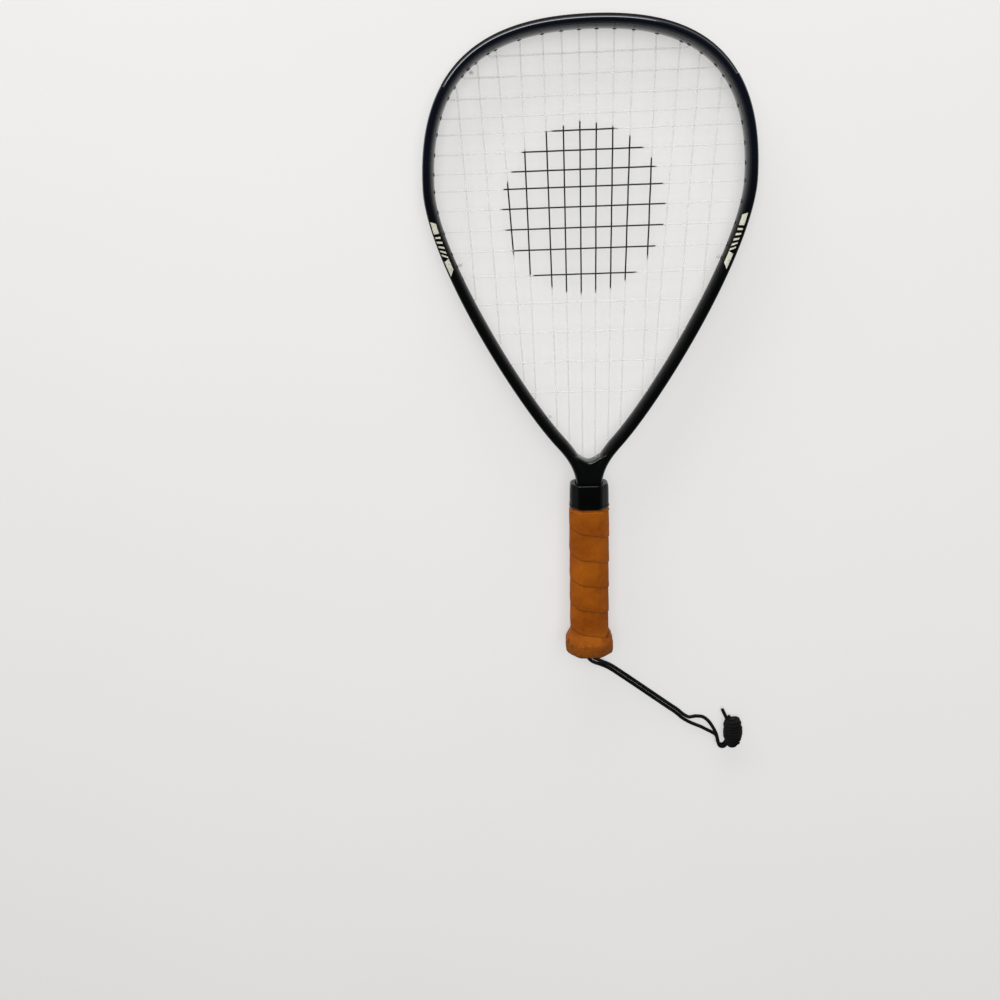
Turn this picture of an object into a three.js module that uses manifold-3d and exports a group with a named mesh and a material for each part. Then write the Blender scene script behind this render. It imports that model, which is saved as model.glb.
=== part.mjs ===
// A racquetball racket at its real size, in millimetres, lying face up on a surface at z = 0.
//
// The racket is drawn flat first: X across the face, Y from the butt to the crown, Z out of the
// string bed, with the origin at the middle of the butt's end. It is then tipped until the flared
// butt and the crown both touch the surface, and moved so that the origin is under its middle.
// A section of the tube is drawn in u, outward from the hoop in its own plane, and v, along Z.
// A place on the tube is a number: 0 at the crown, 1 at the widest point, 2 at the throat, 3 at
// the top of the shaft and 4 at the shaft's end, and the same below zero on the left side.

import * as THREE from 'three';
import { mergeVertices } from 'three/addons/utils/BufferGeometryUtils.js';
import Module from 'manifold-3d';

const wasm = await Module();
wasm.setup();

// Overall sizes of the frame, to the tube's centre line where it is not said otherwise
const LENGTH = 527.9;
const HEAD_HALF_WIDTH = 125.65;
const WIDEST_Y = 409.8;
const THROAT_Y = 201.5;
const THROAT_HALF_WIDTH = 24;
const THROAT_ANGLE = THREE.MathUtils.degToRad(41);
const CROTCH_Y = 185.3;
const SHAFT_TOP_Y = 160.5;
const SHAFT_END_Y = 16;
const SHAFT_HALF_SPACING = 6.55;

// The tube
const FACE_WIDTH = 9.3;
const TUBE_DEPTH = 19;
const TUBE_WALL = 1.25;
const CHANNEL_DEPTH = 2.8;
const CHANNEL_HALF_WIDTH = 3.1;
const WEB_HALF_DEPTH = 7;
const WEB_BEVEL = 1;
const WEB_BOTTOM_Y = 136;
const WEB_TOP_PLACE = 2.25;

// Head guard and grommet strips
const GUARD_PROUD = 0.55;
const GUARD_END_PROUD = 0.1;
const GUARD_HALF_DEPTH = 7.6;
const GUARD_EDGE = 2.2;
const GUARD_GROOVE_HALF_WIDTH = 1.75;
const STRIP_THICKNESS = 0.7;
const STRIP_HALF_WIDTH = 2.8;
const STRIP_GAP = 0.8;
const BARREL_RADIUS = 1.9;
const BORE_RADIUS = 1;
const BARREL_LIP = 0.7;
const WEB_REACH = 0.8;

// Strings
const STRING_RADIUS = 0.62;
const STRING_STAGGER = 0.8;
const STRING_BEND = 1.2;
const LOOP_STEP = 8;
const KNOT_RADIUS = 1.8;

// Grip, outside the leather, on the straight stretch
const GRIP_HALF_WIDTH = 17.1;
const GRIP_HALF_DEPTH = 14.6;
const GRIP_CORNER_CUT = 8.2;
const LEATHER_THICKNESS = 1.6;
const LEATHER_START_Y = 2.6;
const LEATHER_END_Y = 152;
const WRAP_PITCH = 24.4;
const WRAP_FIRST_SEAM_Y = 17.9;
const WRAP_STEP = 0.5;
const FLARE_LENGTH = 24;
const FLARE_RISE = 4.3;

// Handle core, butt cap, finishing tape and collar
const CORE_BOTTOM_Y = 14.5;
const CORE_TOP_Y = 154.5;
const CORE_TOP_CHAMFER = 1.5;
const SHAFT_CORNER_CUT = 3.8;
const NECK_DRAW = 1.9;
const NECK_TAPER = 2;
const CAP_TOP_Y = 31;
const CAP_WALL = 1.2;
const CAP_FLOOR = 2.4;
const CAP_RIM_DRAW = 0.8;
const CORD_HOLE_RADIUS = 4;
const COLLAR_BOTTOM_Y = 143.4;
const COLLAR_TOP_Y = 165.4;
const TAPE_THICKNESS = 0.4;
const TAPE_BOTTOM_Y = 146;
const TAPE_TOP_Y = 151;

// Wrist cord
const CORD_DIAMETER = 3.4;
const STOP_KNOT_RADIUS = 4.8;
const END_KNOT_HEIGHT = 14;
const STRAND_STEPS = 40;
const HOOK_STEPS = 12;
const TAIL_STEPS = 6;

// Points of the cord's two strands, from the butt cap's hole to the knot at the end. Each is a
// distance along X and along Y from the hole's mouth, and a share of the mouth's height above
// the level of a cord on the surface.
const UPPER_STRAND_POINTS = [
  [1.87, 0, 1], [2, -4.6, 0.97], [4.1, -9, 0.82], [8, -14.2, 0.52], [13.7, -20, 0.2], [21.6, -25.6, 0.03],
  [34.1, -35.1, 0], [49.1, -46.7, 0], [65.1, -59.2, 0], [79.1, -70.1, 0], [87.1, -76.3, 0],
  [92.6, -81.5, 0], [98.3, -84.8, 0], [105.3, -83.9, 0], [112.3, -85.1, 0], [117.6, -89.4, 0.05],
  [121.9, -95.7, 0.13], [125, -102.1, 0.19], [126.5, -107.9, 0.22], [127.1, -110.5, 0.22],
];
const LOWER_STRAND_POINTS = [
  [-1.87, 0, 1], [-1.6, -5.8, 0.97], [1.1, -11.5, 0.82], [5.5, -17.4, 0.52], [11.5, -23, 0.2],
  [19.4, -28.6, 0.03], [31.9, -38.1, 0], [46.9, -49.7, 0], [62.9, -62.2, 0], [76.9, -73.1, 0],
  [84.9, -79.3, 0], [92, -85.9, 0], [99, -90.6, 0], [104.6, -93.4, 0], [110.6, -96.2, 0], [116.4, -99.6, 0],
  [121.4, -102.5, 0], [124.7, -104.9, 0], [126.5, -107.9, 0], [127.1, -110.5, 0],
];
// The turn that both strands take into the knot, along X and Y
const HOOK_POINTS = [
  [127.2, -110.85], [127.8, -113.5], [129.3, -115.8], [131.7, -116.6], [134, -115.4], [135.5, -112.7],
  [136.7, -109.1], [137.9, -105.5],
];
const TAIL_POINTS = [[130, -75.3, 0.14], [131.6, -78.7, 0.2], [133.6, -82.9, 0.28], [136.2, -88.1, 0.31]];

// The end knot's rings: middles along X and Y from the hole's mouth, and half widths
const END_KNOT_RINGS = [
  [138, -81, 3.4], [139, -84, 6.4], [139.6, -88.5, 8.6], [140, -92.5, 8.4], [140.2, -96.5, 9.4],
  [140.4, -101.5, 9.2], [141, -105.5, 8], [141.6, -109.5, 7.2], [141.6, -113.5, 3.5],
];

// Fits
const CLEARANCE = 0.3;
const OVERRUN = 2;

// The hoop's curves: how far each handle reaches, as shares of the stretch
const CROWN_HANDLE_SHARE = 0.545;
const SHOULDER_HANDLE_SHARE = 0.825;
const HIP_HANDLE_SHARE = 0.254;
const LEG_HANDLE_SHARE = 0.243;
const THROAT_HANDLE_SHARE = 0.771;
const NECK_HANDLE_SHARE = 0.15;

// Half of the tube's section, from the inner face round to the outer shoulder: shares of its
// face width and of its depth
const SECTION_SHARES = [[-0.5, 0.14], [-0.4, 0.3], [-0.14, 0.48], [0.18, 0.466], [0.42, 0.27]];

// Where the main strings on one side meet the crown and the leg, as shares of the head's half
// width, and where the cross strings lie, as shares of the way from the crotch to the crown
const MAIN_CROWN_SHARES = [0.052, 0.157, 0.27, 0.408, 0.551, 0.671, 0.806];
const MAIN_FOOT_SHARES = [0.056, 0.143, 0.226, 0.368, 0.444, 0.595, 0.746];
const CROSS_SHARES = [
  0.945, 0.902, 0.858, 0.818, 0.783, 0.74, 0.698, 0.66,
  0.615, 0.568, 0.52, 0.461, 0.395, 0.324, 0.251, 0.175,
];

// Where the cross string's two ends are tied off: as a share of the way from its first hole to the
// second one's, and from its last hole to the foot of the third main string
const TOP_TIE_SHARE = 0.73;
const FOOT_TIE_SHARE = 0.65;
const FOOT_TIE_MAIN = 2;

// The butt's flare: shares of its length from the butt's end, and of its rise
const FLARE_SHARES = [
  [0, 0.35], [0.06, 0.66], [0.15, 0.9], [0.27, 1], [0.58, 1], [0.78, 0.5], [0.92, 0.1], [1, 0],
];

// The collar's outside, bottom to top: shares of its length, and of the way in to the shaft
const COLLAR_SHARES = [
  [0, -0.02], [0.06, -0.06], [0.5, 0], [0.8, 0.04], [0.92, 0.1], [0.97, 0.19], [1, 0.38],
];

// How many cross strings pass through the head guard on each side
const GUARD_CROSS_COUNT = 2;

// How the tube is cut into straight steps, where the strips end, and how often a place is halved in
// on when it is searched for
const CROWN_STEPS = 15;
const LEG_STEPS = 10;
const NECK_STEPS = 8;
const STRIP_END_STEP = 5;
const SEARCH_HALVINGS = 40;
const ROUND_SIDES = 6;
const CORD_SIDES = 8;
const HOLE_SIDES = 12;
const WRAP_RINGS_A_TURN = 6;

const HALF_FACE = FACE_WIDTH / 2;
const CROWN_Y = LENGTH - HALF_FACE - GUARD_PROUD;
const CHANNEL_FLOOR = HALF_FACE - CHANNEL_DEPTH;
const STRIP_FLOOR = CHANNEL_FLOOR + CLEARANCE;
const STRIP_TOP = STRIP_FLOOR + STRIP_THICKNESS;
const LOOP_LEVEL = STRIP_TOP + CLEARANCE + STRING_RADIUS;
const MOUTH = HALF_FACE + BARREL_LIP;

const LOOKS = {
  graphite: { color: 0x0c0f1a, roughness: 0.25, metalness: 0.1 },
  nylon: { color: 0x101012, roughness: 0.5, metalness: 0 },
  string: { color: 0xe9e6dc, roughness: 0.35, metalness: 0 },
  foam: { color: 0x6d6a63, roughness: 0.9, metalness: 0 },
  leather: { color: 0x965014, roughness: 0.6, metalness: 0 },
  rubber: { color: 0x0b0b0c, roughness: 0.3, metalness: 0 },
  tape: { color: 0x1d1d20, roughness: 0.6, metalness: 0 },
  cord: { color: 0x0e0e10, roughness: 0.85, metalness: 0 },
};

const model = new THREE.Group();
const racket = new THREE.Group();
model.add(racket);

function addPiece(group, name, geometry, look) {
  const mesh = new THREE.Mesh(geometry, new THREE.MeshStandardMaterial(LOOKS[look]));
  mesh.name = name;
  group.add(mesh);
}

// Solids from rings of points

function closedGeometry(points, faces) {
  let volume = 0;
  for (let i = 0; i < faces.length; i += 3) {
    const [a, b, c] = [points[faces[i]], points[faces[i + 1]], points[faces[i + 2]]];
    volume += a.dot(b.clone().cross(c));
  }
  const outward = volume > 0 ? faces : faces.slice().reverse();
  return new THREE.BufferGeometry().setFromPoints(points).setIndex(outward);
}

function sideFaces(count, ringCount, spanCount) {
  const faces = [];
  for (let r = 0; r < spanCount; r++) {
    const here = r * count;
    const next = ((r + 1) % ringCount) * count;
    for (let i = 0; i < count; i++) {
      const j = (i + 1) % count;
      faces.push(here + i, here + j, next + j, here + i, next + j, next + i);
    }
  }
  return faces;
}

// A solid through a row of rings, with a flat end on the first and the last. The outline holds
// one ring's points in its own plane.
function loft(rings, outline) {
  const count = outline.length;
  const last = (rings.length - 1) * count;
  const faces = sideFaces(count, rings.length, rings.length - 1);
  const turn = Math.sign(THREE.ShapeUtils.area(outline));
  for (const [a, b, c] of THREE.ShapeUtils.triangulateShape(outline, [])) {
    const along = Math.sign(THREE.ShapeUtils.area([outline[a], outline[b], outline[c]])) === turn;
    const [i, j, k] = along ? [a, b, c] : [a, c, b];
    faces.push(k, j, i, last + i, last + j, last + k);
  }
  return closedGeometry(rings.flat(), faces);
}

// A sleeve: its outer rings one way, and its inner rings back
function sleeve(outerRings, innerRings) {
  const rings = [...outerRings, ...innerRings.slice().reverse()];
  return closedGeometry(rings.flat(), sideFaces(rings[0].length, rings.length, rings.length));
}

function roundOutline(radius, sides) {
  const angles = Array.from({ length: sides }, (_, i) => (i / sides) * 2 * Math.PI);
  return angles.map((angle) => new THREE.Vector2(radius * Math.cos(angle), radius * Math.sin(angle)));
}

// A round rod between two points
function rod(from, to, radius, sides = ROUND_SIDES) {
  const axis = to.clone().sub(from);
  const geometry = new THREE.CylinderGeometry(radius, radius, axis.length(), sides);
  const turn = new THREE.Quaternion().setFromUnitVectors(new THREE.Vector3(0, 1, 0), axis.normalize());
  const middle = from.clone().add(to).multiplyScalar(0.5);
  return geometry.applyQuaternion(turn).translate(middle.x, middle.y, middle.z);
}

// Cutting and joining

function toSolid(geometry) {
  const bare = geometry.clone();
  bare.deleteAttribute('normal');
  bare.deleteAttribute('uv');
  const merged = mergeVertices(bare);
  return new wasm.Manifold(new wasm.Mesh({
    numProp: 3,
    vertProperties: new Float32Array(merged.attributes.position.array),
    triVerts: new Uint32Array(merged.index.array),
  }));
}

function toGeometry(solid) {
  const mesh = solid.getMesh();
  const geometry = new THREE.BufferGeometry();
  geometry.setAttribute('position', new THREE.BufferAttribute(new Float32Array(mesh.vertProperties), 3));
  return geometry.setIndex(new THREE.BufferAttribute(new Uint32Array(mesh.triVerts), 1));
}

function join(geometries) {
  return geometries.map(toSolid).reduce((whole, part) => whole.add(part));
}

function cut(solid, geometries) {
  return solid.subtract(join(geometries));
}

// The tube's centre line: one side's four curves, from the crown to the shaft's end

const legDirection = new THREE.Vector2(Math.sin(THROAT_ANGLE), Math.cos(THROAT_ANGLE));
const crown = new THREE.Vector2(0, CROWN_Y);
const widest = new THREE.Vector2(HEAD_HALF_WIDTH, WIDEST_Y);
const throat = new THREE.Vector2(THROAT_HALF_WIDTH, THROAT_Y);
const shaftTop = new THREE.Vector2(SHAFT_HALF_SPACING, SHAFT_TOP_Y);
const shaftEnd = new THREE.Vector2(SHAFT_HALF_SPACING, SHAFT_END_Y);
const legLength = WIDEST_Y - THROAT_Y;
const neckLength = THROAT_Y - SHAFT_TOP_Y;

const centreCurves = [
  new THREE.CubicBezierCurve(
    crown,
    new THREE.Vector2(CROWN_HANDLE_SHARE * HEAD_HALF_WIDTH, CROWN_Y),
    new THREE.Vector2(HEAD_HALF_WIDTH, WIDEST_Y + SHOULDER_HANDLE_SHARE * (CROWN_Y - WIDEST_Y)),
    widest,
  ),
  new THREE.CubicBezierCurve(
    widest,
    new THREE.Vector2(HEAD_HALF_WIDTH, WIDEST_Y - HIP_HANDLE_SHARE * legLength),
    throat.clone().addScaledVector(legDirection, LEG_HANDLE_SHARE * legLength),
    throat,
  ),
  new THREE.CubicBezierCurve(
    throat,
    throat.clone().addScaledVector(legDirection, -THROAT_HANDLE_SHARE * neckLength),
    new THREE.Vector2(SHAFT_HALF_SPACING, SHAFT_TOP_Y + NECK_HANDLE_SHARE * neckLength),
    shaftTop,
  ),
  new THREE.LineCurve(shaftTop, shaftEnd),
];

// The centre point and the outward direction at a place on the smooth curves
function curveStation(place) {
  const side = place < 0 ? -1 : 1;
  const along = Math.abs(place);
  const index = Math.min(Math.floor(along), centreCurves.length - 1);
  const point = centreCurves[index].getPoint(along - index);
  const tangent = centreCurves[index].getTangent(along - index);
  return {
    centre: new THREE.Vector3(side * point.x, point.y, 0),
    outward: new THREE.Vector3(-side * tangent.y, tangent.x, 0),
  };
}

const curveSteps = [CROWN_STEPS, LEG_STEPS, NECK_STEPS, 1];
const rightPlaces = curveSteps.flatMap((steps, curve) =>
  Array.from({ length: steps }, (_, step) => curve + step / steps));
rightPlaces.push(curveSteps.length);
const tubePlaces = [...rightPlaces.slice(1).reverse().map((place) => -place), ...rightPlaces];
const tubeStations = tubePlaces.map(curveStation);

// The same on the tube as it is built, in straight steps. The last step runs on past each end.
function station(place) {
  const found = tubePlaces.findIndex((other) => other > place);
  const next = found < 0 ? tubePlaces.length - 1 : Math.max(found, 1);
  const share = (place - tubePlaces[next - 1]) / (tubePlaces[next] - tubePlaces[next - 1]);
  const [from, to] = [tubeStations[next - 1], tubeStations[next]];
  return {
    centre: from.centre.clone().lerp(to.centre, share),
    outward: from.outward.clone().lerp(to.outward, share),
  };
}

function pointAt(place, u, v) {
  const { centre, outward } = station(place);
  return centre.addScaledVector(outward, u).setZ(v);
}

// A section swept along the tube, through the given places. It may differ from place to place.
function sweepShaped(sectionAt, places) {
  const outline = sectionAt(places[0]).map(([u, v]) => new THREE.Vector2(u, v));
  return loft(places.map((place) => sectionAt(place).map(([u, v]) => pointAt(place, u, v))), outline);
}

const sweep = (section, places) => sweepShaped(() => section, places);

function placesBetween(first, last) {
  return [first, ...tubePlaces.filter((place) => place > first && place < last), last];
}

// A half section, drawn at v >= 0 from the inner face outward, with its mirror image
function mirrored(half) {
  return [...half, ...half.slice().reverse().map(([u, v]) => [u, -v])];
}

// The tube's outline at a face width and depth, cut off flat at a limit
function tubeHalf(width, depth, limit) {
  const half = SECTION_SHARES.map(([u, v]) => [u * width, v * depth]);
  const kept = half.filter(([u]) => u < limit);
  const next = half[kept.length] ?? [limit, CHANNEL_HALF_WIDTH];
  const [lastU, lastV] = kept[kept.length - 1];
  const share = (limit - lastU) / (next[0] - lastU);
  return [...kept, [limit, lastV + share * (next[1] - lastV)]];
}

// Holes for the strings: a place on the tube, the stagger to one face, and how far inside the
// tube's centre line the barrel's mouth is

function findPlace(first, last, coordinate, value, mouth) {
  const along = (place) => Math.abs(pointAt(place, -mouth, 0)[coordinate]) - value;
  let [low, high] = [first, last];
  const rising = along(high) > along(low);
  for (let i = 0; i < SEARCH_HALVINGS; i++) {
    const middle = (low + high) / 2;
    if (along(middle) > 0 === rising) high = middle;
    else low = middle;
  }
  return (low + high) / 2;
}

const mainCount = MAIN_CROWN_SHARES.length;
const crossCount = CROSS_SHARES.length;
const crossHeights = CROSS_SHARES.map((share) => CROTCH_Y + share * (CROWN_Y - CROTCH_Y));

const mainCrown = MAIN_CROWN_SHARES.map((share) => ({
  place: findPlace(0, 1, 'x', share * HEAD_HALF_WIDTH, HALF_FACE),
  v: -STRING_STAGGER,
  mouth: MOUTH,
}));
const mainFoot = MAIN_FOOT_SHARES.map((share, k) => ({
  place: findPlace(1, 3, 'x', share * HEAD_HALF_WIDTH, k ? HALF_FACE : HALF_FACE + WEB_REACH),
  v: -STRING_STAGGER,
  mouth: k ? MOUTH : MOUTH + WEB_REACH,
}));
const crossEnds = crossHeights.map((height) => {
  const above = height > WIDEST_Y ? 0 : 1;
  return { place: findPlace(above, above + 1, 'y', height, HALF_FACE), v: STRING_STAGGER, mouth: MOUTH };
});

const between = (a, b, share = 0.5) => a.place + share * (b.place - a.place);
const topTiePlace = between(crossEnds[0], crossEnds[1], TOP_TIE_SHARE);
const footTiePlace = between(crossEnds[crossCount - 1], mainFoot[FOOT_TIE_MAIN], FOOT_TIE_SHARE);
const tieHoles = {
  main: { place: between(crossEnds[10], crossEnds[11]), v: -STRING_STAGGER, mouth: MOUTH },
  crossTop: { place: -topTiePlace, v: STRING_STAGGER, mouth: MOUTH },
  crossFoot: { place: -footTiePlace, v: STRING_STAGGER, mouth: MOUTH },
};

const other = (hole) => ({ ...hole, place: -hole.place });
const paired = [...mainCrown, ...mainFoot, ...crossEnds, tieHoles.main];
const holes = [...paired, ...paired.map(other), tieHoles.crossTop, tieHoles.crossFoot];

// The guard ends between two holes, and a strip runs on from there to the foot of the neck
const guardEnd = between(mainCrown[mainCount - 1], crossEnds[GUARD_CROSS_COUNT]);
const stripStart = guardEnd + STRIP_GAP / centreCurves[0].getLength();
const stripEnd = 2 + STRIP_END_STEP / NECK_STEPS;

function holeRod({ place, v, mouth }, inward, outward, radius) {
  return rod(pointAt(place, -mouth - inward, v), pointAt(place, outward, v), radius);
}

// Frame: one hollow tube bent into the hoop, its legs joined by a web at the throat

function frameGeometry() {
  const outerHalf = [
    ...tubeHalf(FACE_WIDTH, TUBE_DEPTH, HALF_FACE).slice(0, -1),
    [HALF_FACE, CHANNEL_HALF_WIDTH],
    [CHANNEL_FLOOR, CHANNEL_HALF_WIDTH],
  ];
  const [insideWidth, insideDepth] = [FACE_WIDTH - 2 * TUBE_WALL, TUBE_DEPTH - 2 * TUBE_WALL];
  const hollowHalf = tubeHalf(insideWidth, insideDepth, CHANNEL_FLOOR - TUBE_WALL);
  const seat = mirrored([
    [CHANNEL_FLOOR, GUARD_HALF_DEPTH + CLEARANCE],
    [HALF_FACE + OVERRUN, GUARD_HALF_DEPTH + CLEARANCE],
  ]);
  const tube = join([sweep(mirrored(outerHalf), tubePlaces), webGeometry()]);
  const pastEnd = curveSteps.length + OVERRUN / (SHAFT_TOP_Y - SHAFT_END_Y);
  const hollow = toSolid(sweep(mirrored(hollowHalf), placesBetween(-pastEnd, pastEnd)));
  return toGeometry(cut(tube.subtract(hollow), [
    sweep(seat, placesBetween(-guardEnd, guardEnd)),
    ...holes.map((hole) => holeRod(hole, OVERRUN, HALF_FACE + OVERRUN, BARREL_RADIUS + CLEARANCE)),
  ]));
}

// The web fills the notch between the legs, from centre line to centre line, up to a rounded crotch
function webGeometry() {
  const places = rightPlaces.filter((place) => place >= WEB_TOP_PLACE && place <= 3);
  const side = places.map((place) => station(place).centre);
  const corner = side[0];
  const outline = new THREE.Shape();
  outline.moveTo(corner.x, corner.y);
  outline.quadraticCurveTo(0, 2 * CROTCH_Y - corner.y, -corner.x, corner.y);
  side.slice(1).forEach(({ x, y }) => outline.lineTo(-x, y));
  outline.lineTo(-SHAFT_HALF_SPACING, WEB_BOTTOM_Y);
  outline.lineTo(SHAFT_HALF_SPACING, WEB_BOTTOM_Y);
  side.slice(1).reverse().forEach(({ x, y }) => outline.lineTo(x, y));
  const depth = 2 * (WEB_HALF_DEPTH - WEB_BEVEL);
  const web = new THREE.ExtrudeGeometry(outline, {
    depth,
    bevelThickness: WEB_BEVEL,
    bevelSize: WEB_BEVEL,
    bevelOffset: -WEB_BEVEL,
    bevelSegments: 1,
    curveSegments: ROUND_SIDES,
  });
  return web.translate(0, 0, -depth / 2);
}

// Head guard and grommet strips: a base in the channel, with a barrel for each string

function barrelled(sectionAt, first, last) {
  const base = sweepShaped(sectionAt, placesBetween(first, last));
  const wanted = holes.filter(({ place }) => place > first && place < last);
  const barrels = wanted.map((hole) => holeRod(hole, 0, (STRIP_FLOOR + STRIP_TOP) / 2, BARREL_RADIUS));
  const bores = wanted.map((hole) => holeRod(hole, OVERRUN, HALF_FACE + OVERRUN, BORE_RADIUS));
  return toGeometry(cut(join([base, ...barrels]), bores));
}

// The guard stands proud of the tube at the crown, and less so towards its ends
function guardGeometry() {
  const sectionAt = (place) => {
    const wayToEnd = (place / guardEnd) ** 2;
    const top = HALF_FACE + GUARD_PROUD + wayToEnd * (GUARD_END_PROUD - GUARD_PROUD);
    return mirrored([
      [STRIP_FLOOR, GUARD_HALF_DEPTH],
      [HALF_FACE, GUARD_HALF_DEPTH],
      [top, GUARD_HALF_DEPTH - 2 * GUARD_EDGE],
      [top, GUARD_GROOVE_HALF_WIDTH],
      [STRIP_TOP, GUARD_GROOVE_HALF_WIDTH],
    ]);
  };
  return barrelled(sectionAt, -guardEnd, guardEnd);
}

function stripGeometry(first, last) {
  const section = mirrored([[STRIP_FLOOR, STRIP_HALF_WIDTH], [STRIP_TOP, STRIP_HALF_WIDTH]]);
  return barrelled(() => section, first, last);
}

// Strings: a round string through a row of points that lie at one height

function stringGeometry(points) {
  const circle = roundOutline(STRING_RADIUS, ROUND_SIDES);
  const rings = points.map((point, i) => {
    const before = i ? point.clone().sub(points[i - 1]).normalize() : null;
    const after = i < points.length - 1 ? points[i + 1].clone().sub(point).normalize() : null;
    const along = (before ?? after).clone().add(after ?? before).normalize();
    const mitre = 1 / along.dot(before ?? after);
    const across = new THREE.Vector3(along.y, -along.x, 0).multiplyScalar(mitre);
    return circle.map(({ x, y }) => point.clone().addScaledVector(across, x).setZ(point.z + y));
  });
  return loft(rings, circle);
}

// The way out of a hole: from the bend inside the hoop to the channel outside
function wayOut({ place, v, mouth }) {
  return [pointAt(place, -mouth - STRING_BEND, v), pointAt(place, LOOP_LEVEL, v)];
}

// The way along the channel, between two places
function wayAlong(from, to, v) {
  const gap = pointAt(from, LOOP_LEVEL, v).distanceTo(pointAt(to, LOOP_LEVEL, v));
  const steps = Math.ceil(gap / LOOP_STEP);
  const shares = Array.from({ length: steps - 1 }, (_, i) => (i + 1) / steps);
  return shares.map((share) => pointAt(from + share * (to - from), LOOP_LEVEL, v));
}

// One string through a row of holes. It enters the hoop at the first of each two, leaves it at
// the second, and runs along the channel to the next two.
function stringPath(row) {
  return row.flatMap((hole, i) => {
    if (i % 2 === 0) return wayOut(hole).reverse();
    const next = row[i + 1];
    return next ? [...wayOut(hole), ...wayAlong(hole.place, next.place, hole.v)] : wayOut(hole);
  });
}

// From a string's last hole to its tie-off hole, back in through it and short of its knot
function tiedEnd(last, tie) {
  const [, outside] = wayOut(tie);
  return [...wayAlong(last.place, tie.place, tie.v), outside, pointAt(tie.place, -tie.mouth, tie.v)];
}

function tiedString(row, firstTie, lastTie) {
  const start = tiedEnd(row[0], firstTie).reverse();
  return [...start, ...stringPath(row), ...tiedEnd(row[row.length - 1], lastTie)];
}

// Out from the middle on each side, a main string's foot is followed by its crown and then by
// the next one's crown and foot
function mainString() {
  const upFirst = mainFoot.map((foot, k) => (k % 2 ? [mainCrown[k], foot] : [foot, mainCrown[k]]));
  const left = upFirst.flatMap(([first, last]) => [last, first]).map(other);
  const right = upFirst.slice().reverse().flat();
  return tiedString([...right, ...left], tieHoles.main, other(tieHoles.main));
}

function crossString() {
  const row = crossEnds.flatMap((end, i) => (i % 2 ? [end, other(end)] : [other(end), end]));
  return tiedString(row, tieHoles.crossTop, tieHoles.crossFoot);
}

function knotGeometry(hole) {
  const middle = pointAt(hole.place, -hole.mouth - CLEARANCE - KNOT_RADIUS, hole.v);
  return new THREE.IcosahedronGeometry(KNOT_RADIUS, 1).translate(middle.x, middle.y, middle.z);
}

// Grip: eight-sided rings round the handle

function gripShape(inset) {
  return {
    halfWidth: GRIP_HALF_WIDTH - inset,
    halfDepth: GRIP_HALF_DEPTH - inset,
    corner: GRIP_CORNER_CUT - (2 - Math.SQRT2) * inset,
  };
}

// The shaft's two tubes side by side, with room round them
function shaftShape() {
  return {
    halfWidth: SHAFT_HALF_SPACING + HALF_FACE + CLEARANCE,
    halfDepth: TUBE_DEPTH / 2 + CLEARANCE,
    corner: SHAFT_CORNER_CUT,
  };
}

function gripOutline({ halfWidth, halfDepth, corner }) {
  const [flatX, flatZ] = [halfWidth - corner, halfDepth - corner];
  return [
    [halfWidth, flatZ], [flatX, halfDepth], [-flatX, halfDepth], [-halfWidth, flatZ],
    [-halfWidth, -flatZ], [-flatX, -halfDepth], [flatX, -halfDepth], [halfWidth, -flatZ],
  ].map(([x, z]) => new THREE.Vector2(x, z));
}

const ringAt = (shape, y) => gripOutline(shape).map(({ x, y: z }) => new THREE.Vector3(x, y, z));
const gripRing = (inset, y) => ringAt(gripShape(inset), y);
const shaftRing = (y) => ringAt(shaftShape(), y);
const gripCorners = gripOutline(gripShape(0)).length;

// A value read from a table of shares, in straight lines between its rows
function fromTable(table, share) {
  const after = table.findIndex(([at]) => at >= share);
  if (after < 0) return table[table.length - 1][1];
  if (after === 0) return table[0][1];
  const [[fromAt, from], [toAt, to]] = [table[after - 1], table[after]];
  return from + ((share - fromAt) / (toAt - fromAt)) * (to - from);
}

const flareRise = (y) => FLARE_RISE * fromTable(FLARE_SHARES, y / FLARE_LENGTH);
const flareYs = FLARE_SHARES.map(([share]) => share * FLARE_LENGTH);
const underLeather = LEATHER_THICKNESS + CLEARANCE;
const insideCap = underLeather + CAP_WALL;

// The taper under the collar, at a depth below the leather's outside: two rings' heights
function neckTaper(depth) {
  const halfAngle = Math.atan2(NECK_DRAW, NECK_TAPER) / 2;
  const y = COLLAR_BOTTOM_Y - CLEARANCE - NECK_TAPER - depth * Math.tan(halfAngle);
  return [y, y + NECK_TAPER];
}

// How far the wrap's overlap lifts the leather, as a share of a full step, at a ring's corner
function wrapLift(corner, y) {
  const turns = (y - WRAP_FIRST_SEAM_Y) / WRAP_PITCH - corner / gripCorners;
  return 1 - (turns - Math.floor(turns));
}

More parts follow.
